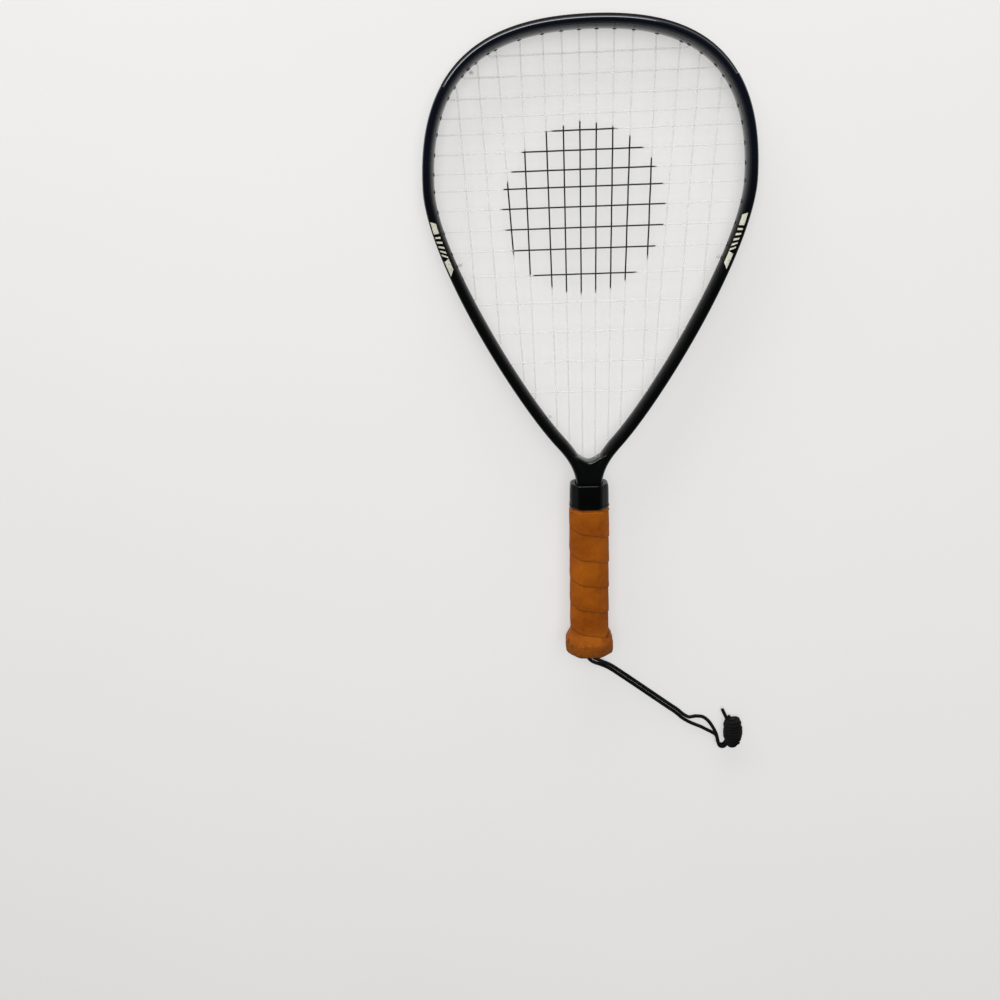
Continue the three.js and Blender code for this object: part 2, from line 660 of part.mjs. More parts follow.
function leatherGeometry() {
  const [outerY, outerNeckY] = neckTaper(0);
  const [innerY, innerNeckY] = neckTaper(LEATHER_THICKNESS);
  const step = WRAP_PITCH / WRAP_RINGS_A_TURN;
  const ringCount = Math.floor((outerY - FLARE_LENGTH) / step);
  const straightYs = Array.from({ length: ringCount }, (_, i) => outerY - (ringCount - 1 - i) * step);
  const onFlare = (y) => y > LEATHER_START_Y && y < straightYs[0];
  const outerYs = [LEATHER_START_Y, ...flareYs.filter(onFlare), ...straightYs];
  const outer = outerYs.map((y) => {
    const low = gripRing(-flareRise(y), y);
    const high = gripRing(-flareRise(y) - WRAP_STEP, y);
    return low.map((point, corner) => point.lerp(high[corner], wrapLift(corner, y)));
  });
  outer.push(gripRing(NECK_DRAW, outerNeckY), gripRing(NECK_DRAW, LEATHER_END_Y));
  const innerYs = [LEATHER_START_Y, ...flareYs.filter((y) => y > LEATHER_START_Y), innerY];
  const inner = innerYs.map((y) => gripRing(LEATHER_THICKNESS - flareRise(y), y));
  const neckInset = LEATHER_THICKNESS + NECK_DRAW;
  inner.push(gripRing(neckInset, innerNeckY), gripRing(neckInset, LEATHER_END_Y));
  return sleeve(outer, inner);
}

// Moulded core, with a pocket for the shaft's two tubes
function coreGeometry() {
  const [shoulderY, neckY] = neckTaper(underLeather);
  const neckInset = underLeather + NECK_DRAW;
  const outside = loft([
    gripRing(insideCap + CLEARANCE, CORE_BOTTOM_Y),
    gripRing(insideCap + CLEARANCE, CAP_TOP_Y + CLEARANCE),
    gripRing(underLeather, CAP_TOP_Y + CLEARANCE),
    gripRing(underLeather, shoulderY),
    gripRing(neckInset, neckY),
    gripRing(neckInset, CORE_TOP_Y - CORE_TOP_CHAMFER),
    gripRing(neckInset + CORE_TOP_CHAMFER, CORE_TOP_Y),
  ], gripOutline(gripShape(0)));
  const pocket = loft([
    shaftRing(SHAFT_END_Y - CLEARANCE), shaftRing(CORE_TOP_Y + OVERRUN),
  ], gripOutline(shaftShape()));
  return toGeometry(cut(toSolid(outside), [pocket]));
}

// Butt cap: a flared cup with a rim, and a hole in its floor for the wrist cord
function capGeometry() {
  const rimTop = LEATHER_START_Y - CLEARANCE;
  const wall = (y) => gripRing(underLeather - flareRise(y), y);
  const rim = (y) => gripRing(CAP_RIM_DRAW - flareRise(y), y);
  const outside = loft([
    rim(0), rim(rimTop), wall(rimTop),
    ...flareYs.filter((y) => y > LEATHER_START_Y && y < CAP_TOP_Y).map(wall),
    wall(CAP_TOP_Y),
  ], gripOutline(gripShape(0)));
  const cavity = loft([
    gripRing(insideCap, CAP_FLOOR), gripRing(insideCap, CAP_TOP_Y + OVERRUN),
  ], gripOutline(gripShape(0)));
  const cordHole = rod(
    new THREE.Vector3(0, -OVERRUN, 0), new THREE.Vector3(0, CAP_FLOOR + OVERRUN, 0),
    CORD_HOLE_RADIUS, HOLE_SIDES,
  );
  return toGeometry(cut(toSolid(outside), [cavity, cordHole]));
}

const tapeInset = NECK_DRAW - CLEARANCE;

function collarGeometry() {
  const length = COLLAR_TOP_Y - COLLAR_BOTTOM_Y;
  const outer = COLLAR_SHARES.map(([at, way]) => {
    const y = COLLAR_BOTTOM_Y + at * length;
    const shaftPoints = shaftRing(y);
    return gripRing(0, y).map((point, i) => point.lerp(shaftPoints[i], way));
  });
  const seatY = CORE_TOP_Y + CLEARANCE;
  const bore = tapeInset - TAPE_THICKNESS - CLEARANCE;
  const grip = [gripRing(bore, COLLAR_BOTTOM_Y), gripRing(bore, seatY)];
  const shaft = [shaftRing(seatY), shaftRing(COLLAR_TOP_Y)];
  return sleeve(outer, [...grip, ...shaft]);
}

function tapeGeometry() {
  const rings = (inset) => [gripRing(inset, TAPE_BOTTOM_Y), gripRing(inset, TAPE_TOP_Y)];
  return sleeve(rings(tapeInset - TAPE_THICKNESS), rings(tapeInset));
}

addPiece(racket, 'frame_tube', frameGeometry(), 'graphite');
addPiece(racket, 'head_guard', guardGeometry(), 'nylon');
addPiece(racket, 'grommet_strip_right', stripGeometry(stripStart, stripEnd), 'nylon');
addPiece(racket, 'grommet_strip_left', stripGeometry(-stripEnd, -stripStart), 'nylon');
addPiece(racket, 'main_string', stringGeometry(mainString()), 'string');
addPiece(racket, 'cross_string', stringGeometry(crossString()), 'string');
addPiece(racket, 'main_knot_right', knotGeometry(tieHoles.main), 'string');
addPiece(racket, 'main_knot_left', knotGeometry(other(tieHoles.main)), 'string');
addPiece(racket, 'cross_knot_top', knotGeometry(tieHoles.crossTop), 'string');
addPiece(racket, 'cross_knot_foot', knotGeometry(tieHoles.crossFoot), 'string');
addPiece(racket, 'handle_core', coreGeometry(), 'foam');
addPiece(racket, 'butt_cap', capGeometry(), 'nylon');
addPiece(racket, 'grip_leather', leatherGeometry(), 'leather');
addPiece(racket, 'finishing_tape', tapeGeometry(), 'tape');
addPiece(racket, 'grip_collar', collarGeometry(), 'rubber');

// Lying on the surface: tipped about X until the butt's flare and the crown touch it
const fullFlare = FLARE_SHARES.find(([, rise]) => rise === 1);
const flareY = FLARE_LENGTH * fullFlare[0];
const flareDrop = GRIP_HALF_DEPTH + FLARE_RISE - TUBE_DEPTH / 2;
racket.rotation.x = -Math.atan2(flareDrop, CROWN_Y - flareY);
racket.updateMatrixWorld(true);
const lying = new THREE.Box3().setFromObject(racket, true);
racket.position.set(0, -(lying.min.y + lying.max.y) / 2, -lying.min.z);
racket.updateMatrixWorld(true);

// Wrist cord: two strands from the butt cap along the surface, tied together at their ends

const cordRadius = CORD_DIAMETER / 2;
const holeMouth = racket.localToWorld(new THREE.Vector3());

function cordPoints(rows) {
  return rows.map(([x, y, share]) => holeMouth.clone()
    .add(new THREE.Vector3(x, y, 0))
    .setZ(cordRadius + share * (holeMouth.z - cordRadius)));
}

// A strand starts behind the hole, against the stop knot
function strandPoints(rows) {
  const start = racket.localToWorld(new THREE.Vector3(rows[0][0], CAP_FLOOR, 0));
  return [start, ...cordPoints(rows)];
}

function cordGeometry(points, radius, steps) {
  return new THREE.ExtrudeGeometry(new THREE.Shape(roundOutline(radius, CORD_SIDES)), {
    steps,
    bevelEnabled: false,
    extrudePath: new THREE.CatmullRomCurve3(points),
  });
}

// The room a cord takes in the knot: a little wider than the cord, and past its end
function cordRoom(points, steps) {
  const [before, end] = points.slice(-2);
  const pastEnd = end.clone().add(end.clone().sub(before).setLength(CLEARANCE));
  return cordGeometry([...points.slice(0, -1), pastEnd], cordRadius + CLEARANCE, steps);
}

const strands = [UPPER_STRAND_POINTS, LOWER_STRAND_POINTS].map(strandPoints);
const tail = cordPoints(TAIL_POINTS);

// The knot's body, with the turn that leads each strand into it
function endKnotGeometry() {
  const halfHeight = END_KNOT_HEIGHT / 2;
  const widest = Math.max(...END_KNOT_RINGS.map(([, , halfWidth]) => halfWidth));
  const outline = roundOutline(1, CORD_SIDES);
  const rings = END_KNOT_RINGS.map(([x, y, halfWidth]) => outline.map((corner) => new THREE.Vector3(
    holeMouth.x + x + halfWidth * corner.x,
    holeMouth.y + y,
    halfHeight * (1 + (halfWidth / widest) * corner.y),
  )));
  const hooks = strands.map((points) => {
    const level = points[points.length - 1].z;
    const route = HOOK_POINTS.map(([x, y]) => new THREE.Vector3(holeMouth.x + x, holeMouth.y + y, level));
    return cordGeometry(route, cordRadius, HOOK_STEPS);
  });
  return toGeometry(cut(join([loft(rings, outline), ...hooks]), [cordRoom(tail, TAIL_STEPS)]));
}

const stopKnot = new THREE.IcosahedronGeometry(STOP_KNOT_RADIUS, 1)
  .translate(0, CAP_FLOOR + CLEARANCE + STOP_KNOT_RADIUS, 0);
addPiece(racket, 'cord_stop_knot', stopKnot, 'cord');
addPiece(model, 'wrist_cord_upper', cordGeometry(strands[0], cordRadius, STRAND_STEPS), 'cord');
addPiece(model, 'wrist_cord_lower', cordGeometry(strands[1], cordRadius, STRAND_STEPS), 'cord');
addPiece(model, 'wrist_cord_knot', endKnotGeometry(), 'cord');
addPiece(model, 'wrist_cord_tail', cordGeometry(tail, cordRadius, TAIL_STEPS), 'cord');

export default model;
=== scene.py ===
# A racquetball racket lying face up on a pale floor, dressed for the photograph's view.
# Shapes are drawn in the racket's own flat frame, in millimetres: X across the face, Y from the
# butt to the crown, Z out of the strings. LAY then puts them where the solids lie, in metres.
import math
import random

import bmesh
import bpy
from mathutils import Matrix, Vector, noise


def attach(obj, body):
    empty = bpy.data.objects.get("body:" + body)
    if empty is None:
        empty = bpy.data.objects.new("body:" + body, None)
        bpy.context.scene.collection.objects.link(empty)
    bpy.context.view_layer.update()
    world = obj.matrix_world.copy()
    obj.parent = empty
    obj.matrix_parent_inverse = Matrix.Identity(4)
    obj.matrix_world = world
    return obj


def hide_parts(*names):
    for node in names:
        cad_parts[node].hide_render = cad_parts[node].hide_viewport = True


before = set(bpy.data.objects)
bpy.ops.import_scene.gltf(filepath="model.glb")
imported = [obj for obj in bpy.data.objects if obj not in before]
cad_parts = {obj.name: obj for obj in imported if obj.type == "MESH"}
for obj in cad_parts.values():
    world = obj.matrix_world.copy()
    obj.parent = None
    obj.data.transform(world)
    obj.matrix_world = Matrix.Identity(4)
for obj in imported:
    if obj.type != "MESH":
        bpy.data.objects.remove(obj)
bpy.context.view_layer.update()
random.seed(7)

MM = 0.001
LEAN = math.radians(-1.0432002)
ORIGIN = Vector((0, -0.2637961, 0.0196068))
LAY = Matrix.Translation(ORIGIN) @ Matrix.Rotation(LEAN, 4, "X")

# Camera: fitted to the photograph in the racket's frame

FOCAL_PIXELS, IMAGE_PIXELS, SENSOR = 850, 1000, 36
PITCH, YAW, ROLL = 0.32029934, -0.05476573, 0.03707064
CAMERA_SHIFT = Vector((0.08353089, -0.14097625, -0.79508521))


def add_object(name, data):
    item = bpy.data.objects.new(name, data)
    bpy.context.scene.collection.objects.link(item)
    return item


def make_camera():
    turn = Matrix.Rotation(ROLL, 4, "Z") @ Matrix.Rotation(PITCH, 4, "X")
    turn = turn @ Matrix.Rotation(YAW, 4, "Y")
    data = bpy.data.cameras.new("camera")
    data.sensor_width = SENSOR
    data.lens = SENSOR * FOCAL_PIXELS / IMAGE_PIXELS
    camera = add_object("camera", data)
    camera.matrix_world = LAY @ (Matrix.Translation(CAMERA_SHIFT) @ turn).inverted()
    bpy.context.scene.camera = camera


make_camera()

# Mesh helpers

SHARP_ANGLE = math.radians(38)
UP = Vector((0, 0, 1))


def laid(points):
    return [LAY @ (Vector(p) * MM) for p in points]


def add_mesh(name, points, faces, uvs=None):
    """A mesh object from points in metres. uvs holds one pair for each corner of each face."""
    mesh = bpy.data.meshes.new(name)
    mesh.from_pydata([tuple(p) for p in points], [], faces)
    if uvs is not None:
        layer = mesh.uv_layers.new(name="UVMap")
        layer.data.foreach_set("uv", [x for pair in uvs for x in pair])
    tidy = bmesh.new()
    tidy.from_mesh(mesh)
    bmesh.ops.recalc_face_normals(tidy, faces=tidy.faces)
    for face in tidy.faces:
        face.smooth = True
    for edge in tidy.edges:
        if len(edge.link_faces) == 2 and edge.calc_face_angle() > SHARP_ANGLE:
            edge.smooth = False
    tidy.to_mesh(mesh)
    tidy.free()
    return add_object(name, mesh)


def grid_faces(rows, columns, close_rows=False, close_columns=True):
    faces = []
    for r in range(rows if close_rows else rows - 1):
        for c in range(columns if close_columns else columns - 1):
            a, b = r * columns + c, r * columns + (c + 1) % columns
            n = (r + 1) % rows
            faces.append((a, b, n * columns + (c + 1) % columns, n * columns + c))
    return faces


def grid_uvs(rows, columns, uv_of, close_rows=False):
    """UVs for grid_faces, from uv_of(row, column), where one column follows the last."""
    uvs = []
    for r in range(rows if close_rows else rows - 1):
        n = (r + 1) % rows
        for c in range(columns):
            uvs += [uv_of(r, c), uv_of(r, c + 1), uv_of(n, c + 1), uv_of(n, c)]
    return uvs


def lofted(rings, caps=True, close_rows=False):
    """Points and faces of a surface through closed rings of equal size."""
    count = len(rings[0])
    faces = grid_faces(len(rings), count, close_rows)
    if caps and not close_rows:
        faces.append(tuple(range(count)))
        faces.append(tuple(reversed(range((len(rings) - 1) * count, len(rings) * count))))
    return [p for ring in rings for p in ring], faces


class Shape:
    """Points and faces gathered from several closed surfaces."""

    def __init__(self):
        self.points = []
        self.faces = []

    def add(self, points, faces):
        start = len(self.points)
        self.points += list(points)
        self.faces += [tuple(start + i for i in face) for face in faces]
        return self


def lerp(a, b, t):
    return a + (b - a) * t


def from_table(table, x):
    if x <= table[0][0]:
        return table[0][1]
    for (x0, y0), (x1, y1) in zip(table, table[1:]):
        if x <= x1:
            return lerp(y0, y1, (x - x0) / (x1 - x0))
    return table[-1][1]


def eased(t):
    t = min(max(t, 0), 1)
    return t * t * (3 - 2 * t)


def circle(radius, sides):
    angles = [i / sides * math.tau for i in range(sides)]
    return [(radius * math.cos(a), radius * math.sin(a)) for a in angles]


def corner_ends(before, corner, after, cut, most):
    """Where a corner's rounding starts: a cut away on each side, or a share of that side at most."""
    sides = [p - corner for p in (before, after)]
    return [corner + side.normalized() * min(cut, most * side.length) for side in sides]


def corner_curve(a, corner, b, shares):
    """A quadratic curve from a to b that bends towards a corner."""
    return [a * (1 - t) ** 2 + corner * (2 * t * (1 - t)) + b * t * t for t in shares]


def tube_rings(path, radius, sides, relief=lambda along, angle: 0):
    """Rings round a path that don't twist. relief(along, angle) adds to the radius."""
    path = [Vector(p) for p in path]
    tangents = [(b - a).normalized() for a, b in zip(path[:1] + path, path[1:] + path[-1:])]
    up = Vector((1, 0, 0)) if abs(tangents[0].dot(UP)) > 0.9 else UP
    normal = (up - tangents[0] * up.dot(tangents[0])).normalized()
    rings, along = [], 0.0
    for i, (point, tangent) in enumerate(zip(path, tangents)):
        if i:
            along += (point - path[i - 1]).length
            normal = (normal - tangent * normal.dot(tangent)).normalized()
        side = tangent.cross(normal)
        ring = []
        for s in range(sides):
            angle = s / sides * math.tau
            r = radius + relief(along, angle)
            ring.append(point + normal * (r * math.cos(angle)) + side * (r * math.sin(angle)))
        rings.append(ring)
    return rings


def spline_through(points, step):
    """A centripetal Catmull-Rom curve through points, in steps of about one length."""
    points = [Vector(p) for p in points]
    ends = [2 * points[0] - points[1], *points, 2 * points[-1] - points[-2]]
    out = []
    for i in range(1, len(ends) - 2):
        p0, p1, p2, p3 = ends[i - 1:i + 3]
        t1 = (p1 - p0).length ** 0.5
        t2 = t1 + (p2 - p1).length ** 0.5
        t3 = t2 + (p3 - p2).length ** 0.5
        count = max(2, round((p2 - p1).length / step))
        for k in range(count):
            t = lerp(t1, t2, k / count)
            a1, a2 = lerp(p0, p1, t / t1), lerp(p1, p2, (t - t1) / (t2 - t1))
            a3 = lerp(p2, p3, (t - t2) / (t3 - t2))
            b1, b2 = lerp(a1, a2, t / t2), lerp(a2, a3, (t - t1) / (t3 - t1))
            out.append(lerp(b1, b2, (t - t1) / (t2 - t1)))
    out.append(points[-1])
    return out


# Material helpers


class Nodes:
    """Short calls for building one look. Noise and cells lie in the object's own place."""

    def __init__(self, name, kind=bpy.data.materials):
        self.look = kind.new(name)
        self.look.use_nodes = True
        self.tree = self.look.node_tree
        self.shader = self.tree.nodes.get("Principled BSDF") or self.tree.nodes["Background"]
        self.generated, *_, self.place = self.node("ShaderNodeTexCoord").outputs[:4]

    def node(self, kind, inputs=None, **settings):
        node = self.tree.nodes.new(kind)
        for key, value in settings.items():
            setattr(node, key, value)
        for key, value in (inputs or {}).items():
            self.put(node.inputs[key], value)
        return node

    def put(self, socket, value):
        """Link or set a socket. A colour may be three numbers."""
        if isinstance(value, bpy.types.NodeSocket):
            self.tree.links.new(value, socket)
        elif socket.type == "RGBA":
            socket.default_value = (*value[:3], 1)
        else:
            socket.default_value = value

    def math(self, operation, a, b=0.0):
        return self.node("ShaderNodeMath", {0: a, 1: b}, operation=operation).outputs[0]

    def times(self, a, b):
        return self.math("MULTIPLY", a, b)

    def mix(self, factor, a, b):
        return self.node("ShaderNodeMix", {0: factor, 6: a, 7: b}, data_type="RGBA").outputs[2]

    def ramp(self, value, low, high):
        """A grey ramp between two stops, each a position and a level."""
        node = self.node("ShaderNodeValToRGB", {0: value})
        for element, (position, level) in zip(node.color_ramp.elements, (low, high)):
            element.position = position
            element.color = (level, level, level, 1)
        return node.outputs[0]

    def range(self, value, low, high, to_low=0.0, to_high=1.0):
        inputs = {"Value": value, "From Min": low, "From Max": high, "To Min": to_low, "To Max": to_high}
        return self.node("ShaderNodeMapRange", inputs).outputs[0]

    def uv(self):
        return self.split(self.node("ShaderNodeUVMap", uv_map="UVMap").outputs[0])

    def split(self, vector):
        return self.node("ShaderNodeSeparateXYZ", {0: vector}).outputs

    def stretched(self, scale):
        return self.node("ShaderNodeMapping", {"Vector": self.place, "Scale": scale}).outputs[0]

    def noise(self, scale, detail=3.0, rough=0.5, distort=0.0, at=None):
        at = self.place if at is None else at
        inputs = {"Vector": at, "Scale": scale, "Detail": detail, "Roughness": rough}
        inputs["Distortion"] = distort
        return self.node("ShaderNodeTexNoise", inputs).outputs[0]

    def cells(self, scale, feature="F1", at=None):
        inputs = {"Vector": self.place if at is None else at, "Scale": scale}
        return self.node("ShaderNodeTexVoronoi", inputs, feature=feature).outputs[0]

    def bump(self, height, strength, distance, after=None):
        inputs = {"Height": height, "Strength": strength, "Distance": distance}
        if after is not None:
            inputs["Normal"] = after
        return self.node("ShaderNodeBump", inputs).outputs[0]

    def set(self, **inputs):
        for key, value in inputs.items():
            self.put(self.shader.inputs[key.replace("_", " ")], value)
        return self.look


def finish_piece(piece, material, slot, *nodes):
    piece.data.materials.clear()
    piece.data.materials.append(material)
    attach(piece, "root")
    if nodes:
        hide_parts(*nodes)
    return piece


# Wrist cord, first of all. Its points are those of the solids: along X and Y from the mouth of
# the cap's hole, and a share of the mouth's height above a cord that lies on the surface.

CORD_DIAMETER, CAP_FLOOR = 3.4, 2.4
CORD_RADIUS = CORD_DIAMETER / 2
MOUTH_Y, MOUTH_Z = ORIGIN.y / MM, ORIGIN.z / MM

UPPER_STRAND = [
    (1.87, 0, 1), (2, -4.6, 0.97), (4.1, -9, 0.82), (8, -14.2, 0.52), (13.7, -20, 0.2), (21.6, -25.6, 0.03),
    (34.1, -35.1, 0), (49.1, -46.7, 0), (65.1, -59.2, 0), (79.1, -70.1, 0), (87.1, -76.3, 0),
    (92.6, -81.5, 0), (98.3, -84.8, 0), (105.3, -83.9, 0), (112.3, -85.1, 0), (117.6, -89.4, 0.05),
    (121.9, -95.7, 0.13), (125, -102.1, 0.19), (126.5, -107.9, 0.22), (127.1, -110.5, 0.22),
]
LOWER_STRAND = [
    (-1.87, 0, 1), (-1.6, -5.8, 0.97), (1.1, -11.5, 0.82), (5.5, -17.4, 0.52), (11.5, -23, 0.2),
    (19.4, -28.6, 0.03), (31.9, -38.1, 0), (46.9, -49.7, 0), (62.9, -62.2, 0), (76.9, -73.1, 0),
    (84.9, -79.3, 0), (92, -85.9, 0), (99, -90.6, 0), (104.6, -93.4, 0), (110.6, -96.2, 0),
    (116.4, -99.6, 0), (121.4, -102.5, 0), (124.7, -104.9, 0), (126.5, -107.9, 0), (127.1, -110.5, 0),
]
HOOK = [
    (127.2, -110.85), (127.8, -113.5), (129.3, -115.8), (131.7, -116.6), (134, -115.4), (135.5, -112.7),
    (136.7, -109.1), (137.9, -105.5),
]
TAIL = [(130, -75.3, 0.14), (131.6, -78.7, 0.2), (133.6, -82.9, 0.28), (136.2, -88.1, 0.31)]
KNOT_RINGS = [
    (138, -81, 3.4), (139, -84, 6.4), (139.6, -88.5, 8.6), (140, -92.5, 8.4), (140.2, -96.5, 9.4),
    (140.4, -101.5, 9.2), (141, -105.5, 8), (141.6, -109.5, 7.2), (141.6, -113.5, 3.5),
]
KNOT_HEIGHT = 14
CORD_STEP, TURN_STEP, CORD_SIDES = 0.6, 0.4, 24
BRAID_PITCH, BRAID_CARRIERS, BRAID_RELIEF, BRAID_CROSSINGS = 6.0, 6, 0.11, 3


def cord_points(rows):
    return [(x, MOUTH_Y + y, CORD_RADIUS + share * (MOUTH_Z - CORD_RADIUS)) for x, y, share in rows]


def braid(along, angle):
    """The height of a braid's crossing yarns."""
    turn = BRAID_CROSSINGS * along / BRAID_PITCH * math.tau
    around = BRAID_CARRIERS * angle
    return BRAID_RELIEF * (max(math.cos(around + turn), math.cos(around - turn)) - 0.6)


def cord_material():
    m = Nodes("braided_cord")
    fuzz = m.noise(2600, 2, 0.6)
    dust = m.noise(90, 4, 0.6)
    tone = m.mix(m.range(dust, 0.45, 0.75), (0.002, 0.002, 0.0023), (0.007, 0.007, 0.0075))
    m.set(Base_Color=tone, Roughness=0.82, Normal=m.bump(fuzz, 0.5, 0.0002))
    return m.set(Sheen_Weight=0.03, Sheen_Roughness=0.5, Specular_IOR_Level=0.2)


CORD_LOOK = cord_material()


def cord_shape(shape, route):
    rings = tube_rings(route, CORD_RADIUS - BRAID_RELIEF * 0.4, CORD_SIDES, braid)
    return shape.add(*lofted(rings))


def cord_piece(name, shape, node):
    piece = add_mesh(name, [point * MM for point in shape.points], shape.faces)
    return finish_piece(piece, CORD_LOOK, "black_cord", node)


def make_strand(name, rows, node):
    start = LAY @ (Vector((rows[0][0], CAP_FLOOR, 0)) * MM)
    route = spline_through([start / MM, *cord_points(rows)], CORD_STEP)
    piece = cord_piece(name, cord_shape(Shape(), route), node)
    length = sum((b - a).length for a, b in zip(route, route[1:])) * MM
    return piece, [p * MM for p in route], length


KNOT_X = sorted((y, x) for x, y, _ in KNOT_RINGS)
KNOT_REACH = sorted((y, half) for _, y, half in KNOT_RINGS)
KNOT_FLAT = KNOT_HEIGHT / 2 / max(half for _, half in KNOT_REACH)
CORE_SHARE, CORE_STEPS, CORE_SIDES = 0.72, 12, 20
KNOT_TURNS, KNOT_STEPS, KNOT_LEAN, KNOT_WOBBLE = 4.6, 200, 2.2, 0.5
STRANDS_APART, LEAST_REACH = 3.0, 1.2


def knot_shape():
    """Wraps of both strands round a core."""
    shape = Shape()
    core = []
    for i in range(CORE_STEPS + 1):
        y = lerp(-112.5, -83, i / CORE_STEPS)
        x, half = from_table(KNOT_X, y), CORE_SHARE * from_table(KNOT_REACH, y)
        core.append([Vector((x + cx, MOUTH_Y + y, KNOT_HEIGHT / 2 + KNOT_FLAT * cz))
                     for cx, cz in circle(half, CORE_SIDES)])
    shape.add(*lofted(core))
    for strand in (0, 1):
        route = []
        for i in range(KNOT_STEPS + 1):
            share = i / KNOT_STEPS
            y = lerp(-111, -84, share) + (strand - 0.5) * STRANDS_APART
            angle = (share * KNOT_TURNS + 0.1) * math.tau
            reach = max(from_table(KNOT_REACH, y) - CORD_RADIUS, LEAST_REACH)
            lean = KNOT_LEAN * math.cos(angle + 0.6)
            wobble = KNOT_WOBBLE * math.sin(5.3 * share * math.tau + strand)
            route.append(Vector((
                from_table(KNOT_X, y) + (reach + wobble * 0.6) * math.cos(angle), MOUTH_Y + y + lean,
                KNOT_HEIGHT / 2 + (reach * KNOT_FLAT + 0.2 * wobble) * math.sin(angle),
            )))
        cord_shape(shape, route)
    return shape


upper, upper_route, upper_length = make_strand("cord_strand_upper", UPPER_STRAND, "wrist_cord_upper")
lower, lower_route, lower_length = make_strand("cord_strand_lower", LOWER_STRAND, "wrist_cord_lower")
YARNS, YARN_TURN, YARN_RADIUS = 46, 2.39996, 0.12


def make_knot():
    """The knot, with the turn that leads each strand into it, and the cord's cut tail."""
    shape = knot_shape()
    for share in (UPPER_STRAND[-1][2], LOWER_STRAND[-1][2]):
        cord_shape(shape, spline_through(cord_points([(x, y, share) for x, y in HOOK]), TURN_STEP))
    knot = cord_piece("cord_end_knot", shape, "wrist_cord_knot")
    end, second = [Vector(p) for p in cord_points(TAIL)[:2]]
    tail = cord_shape(Shape(), spline_through(cord_points(TAIL), TURN_STEP))
    out = (end - second).normalized()
    side = out.cross(UP).normalized()
    up = side.cross(out)
    for i in range(YARNS):
        spin = i * YARN_TURN
        reach = CORD_RADIUS * math.sqrt((i + 0.5) / YARNS) * 0.85
        root = end + side * (reach * math.cos(spin)) + up * (reach * math.sin(spin))
        spread = (root - end) * random.uniform(0.1, 0.5) + out * random.uniform(0.5, 1.3)
        yarn = [root - out * 0.3, root + spread * 0.5, root + spread]
        tail.add(*lofted(tube_rings(yarn, YARN_RADIUS, 5)))
    return knot, cord_piece("cord_tail", tail, "wrist_cord_tail")


knot, tail = make_knot()

# The tube's centre line: one side's curves, from the crown to the shaft's end. A place on it is
# 0 at the crown, 1 at the widest point, 2 at the throat, 3 at the shaft's top and 4 at its end,
# and the same below zero on the left. u is outward from the hoop, and v along Z.

CURVES = [
    [(0, 522.7), (68.479, 522.7), (125.65, 502.943), (125.65, 409.8)],
    [(125.65, 409.8), (125.65, 356.892), (57.208, 239.701), (24, 201.5)],
    [(24, 201.5), (3.261, 177.643), (6.55, 166.65), (6.55, 160.5)],
    [(6.55, 160.5), (6.55, 112.33), (6.55, 64.17), (6.55, 16)],
]
CURVE_STEPS = [110, 90, 44, 12]
SHOULDER_LENGTH, LEG_LENGTH = 195.18, 234
HEAD_HALF_WIDTH = 125.65
CROTCH_Y, CROWN_Y, WIDEST_Y = 185.3, 522.7, 409.8
HALF_FACE, HALF_DEPTH = 4.65, 9.4
CHANNEL_FLOOR, CHANNEL_HALF_WIDTH = 1.85, 3.1
GUARD_HALF_DEPTH, GUARD_TOP, GROOVE = 7.6, 5.2, 1.75
STRIP_FLOOR, STRIP_TOP, STRIP_HALF_WIDTH, STRIP_GAP = 2.15, 2.85, 2.8, 0.8
LOOP_LEVEL, MOUTH, WEB_REACH, STAGGER = 3.72, 5.35, 0.8, 0.8
BARREL_RADIUS, BORE_RADIUS = 1.9, 1.0
STRING_RADIUS, STRING_BEND = 0.62, 1.2


def bezier(points, t):
    p0, p1, p2, p3 = [Vector(p) for p in points]
    s = 1 - t
    point = p0 * s ** 3 + p1 * (3 * s * s * t) + p2 * (3 * s * t * t) + p3 * t ** 3
    tangent = (p1 - p0) * (3 * s * s) + (p2 - p1) * (6 * s * t) + (p3 - p2) * (3 * t * t)
    return point, tangent.normalized()


def station(place):
    side = -1 if place < 0 else 1
    index = min(int(abs(place)), len(CURVES) - 1)
    point, tangent = bezier(CURVES[index], abs(place) - index)
    return Vector((side * point.x, point.y, 0)), Vector((-side * tangent.y, tangent.x, 0))


def on_tube(place, u, v):
    centre, outward = station(place)
    point = centre + outward * u
    return Vector((point.x, point.y, v))


RIGHT_PLACES = [c + k / steps for c, steps in enumerate(CURVE_STEPS) for k in range(steps)] + [4.0]
PLACES = [-p for p in reversed(RIGHT_PLACES[1:])] + RIGHT_PLACES


def places_between(first, last):
    return [first, *[p for p in PLACES if first + 1e-4 < p < last - 1e-4], last]


def find_place(low, high, axis, value, mouth):
    """Where the tube's inner side reaches a value of X or Y, between two places."""
    def over(place):
        return abs(on_tube(place, -mouth, 0)[axis]) - value
    rising = over(high) > over(low)
    for _ in range(40):
        middle = (low + high) / 2
        if (over(middle) > 0) == rising:
            high = middle
        else:
            low = middle
    return (low + high) / 2


MAIN_CROWN_SHARES = [0.052, 0.157, 0.27, 0.408, 0.551, 0.671, 0.806]
MAIN_FOOT_SHARES = [0.056, 0.143, 0.226, 0.368, 0.444, 0.595, 0.746]
CROSS_SHARES = [
    0.945, 0.902, 0.858, 0.818, 0.783, 0.74, 0.698, 0.66,
    0.615, 0.568, 0.52, 0.461, 0.395, 0.324, 0.251, 0.175,
]
TOP_TIE_SHARE, FOOT_TIE_SHARE = 0.73, 0.65


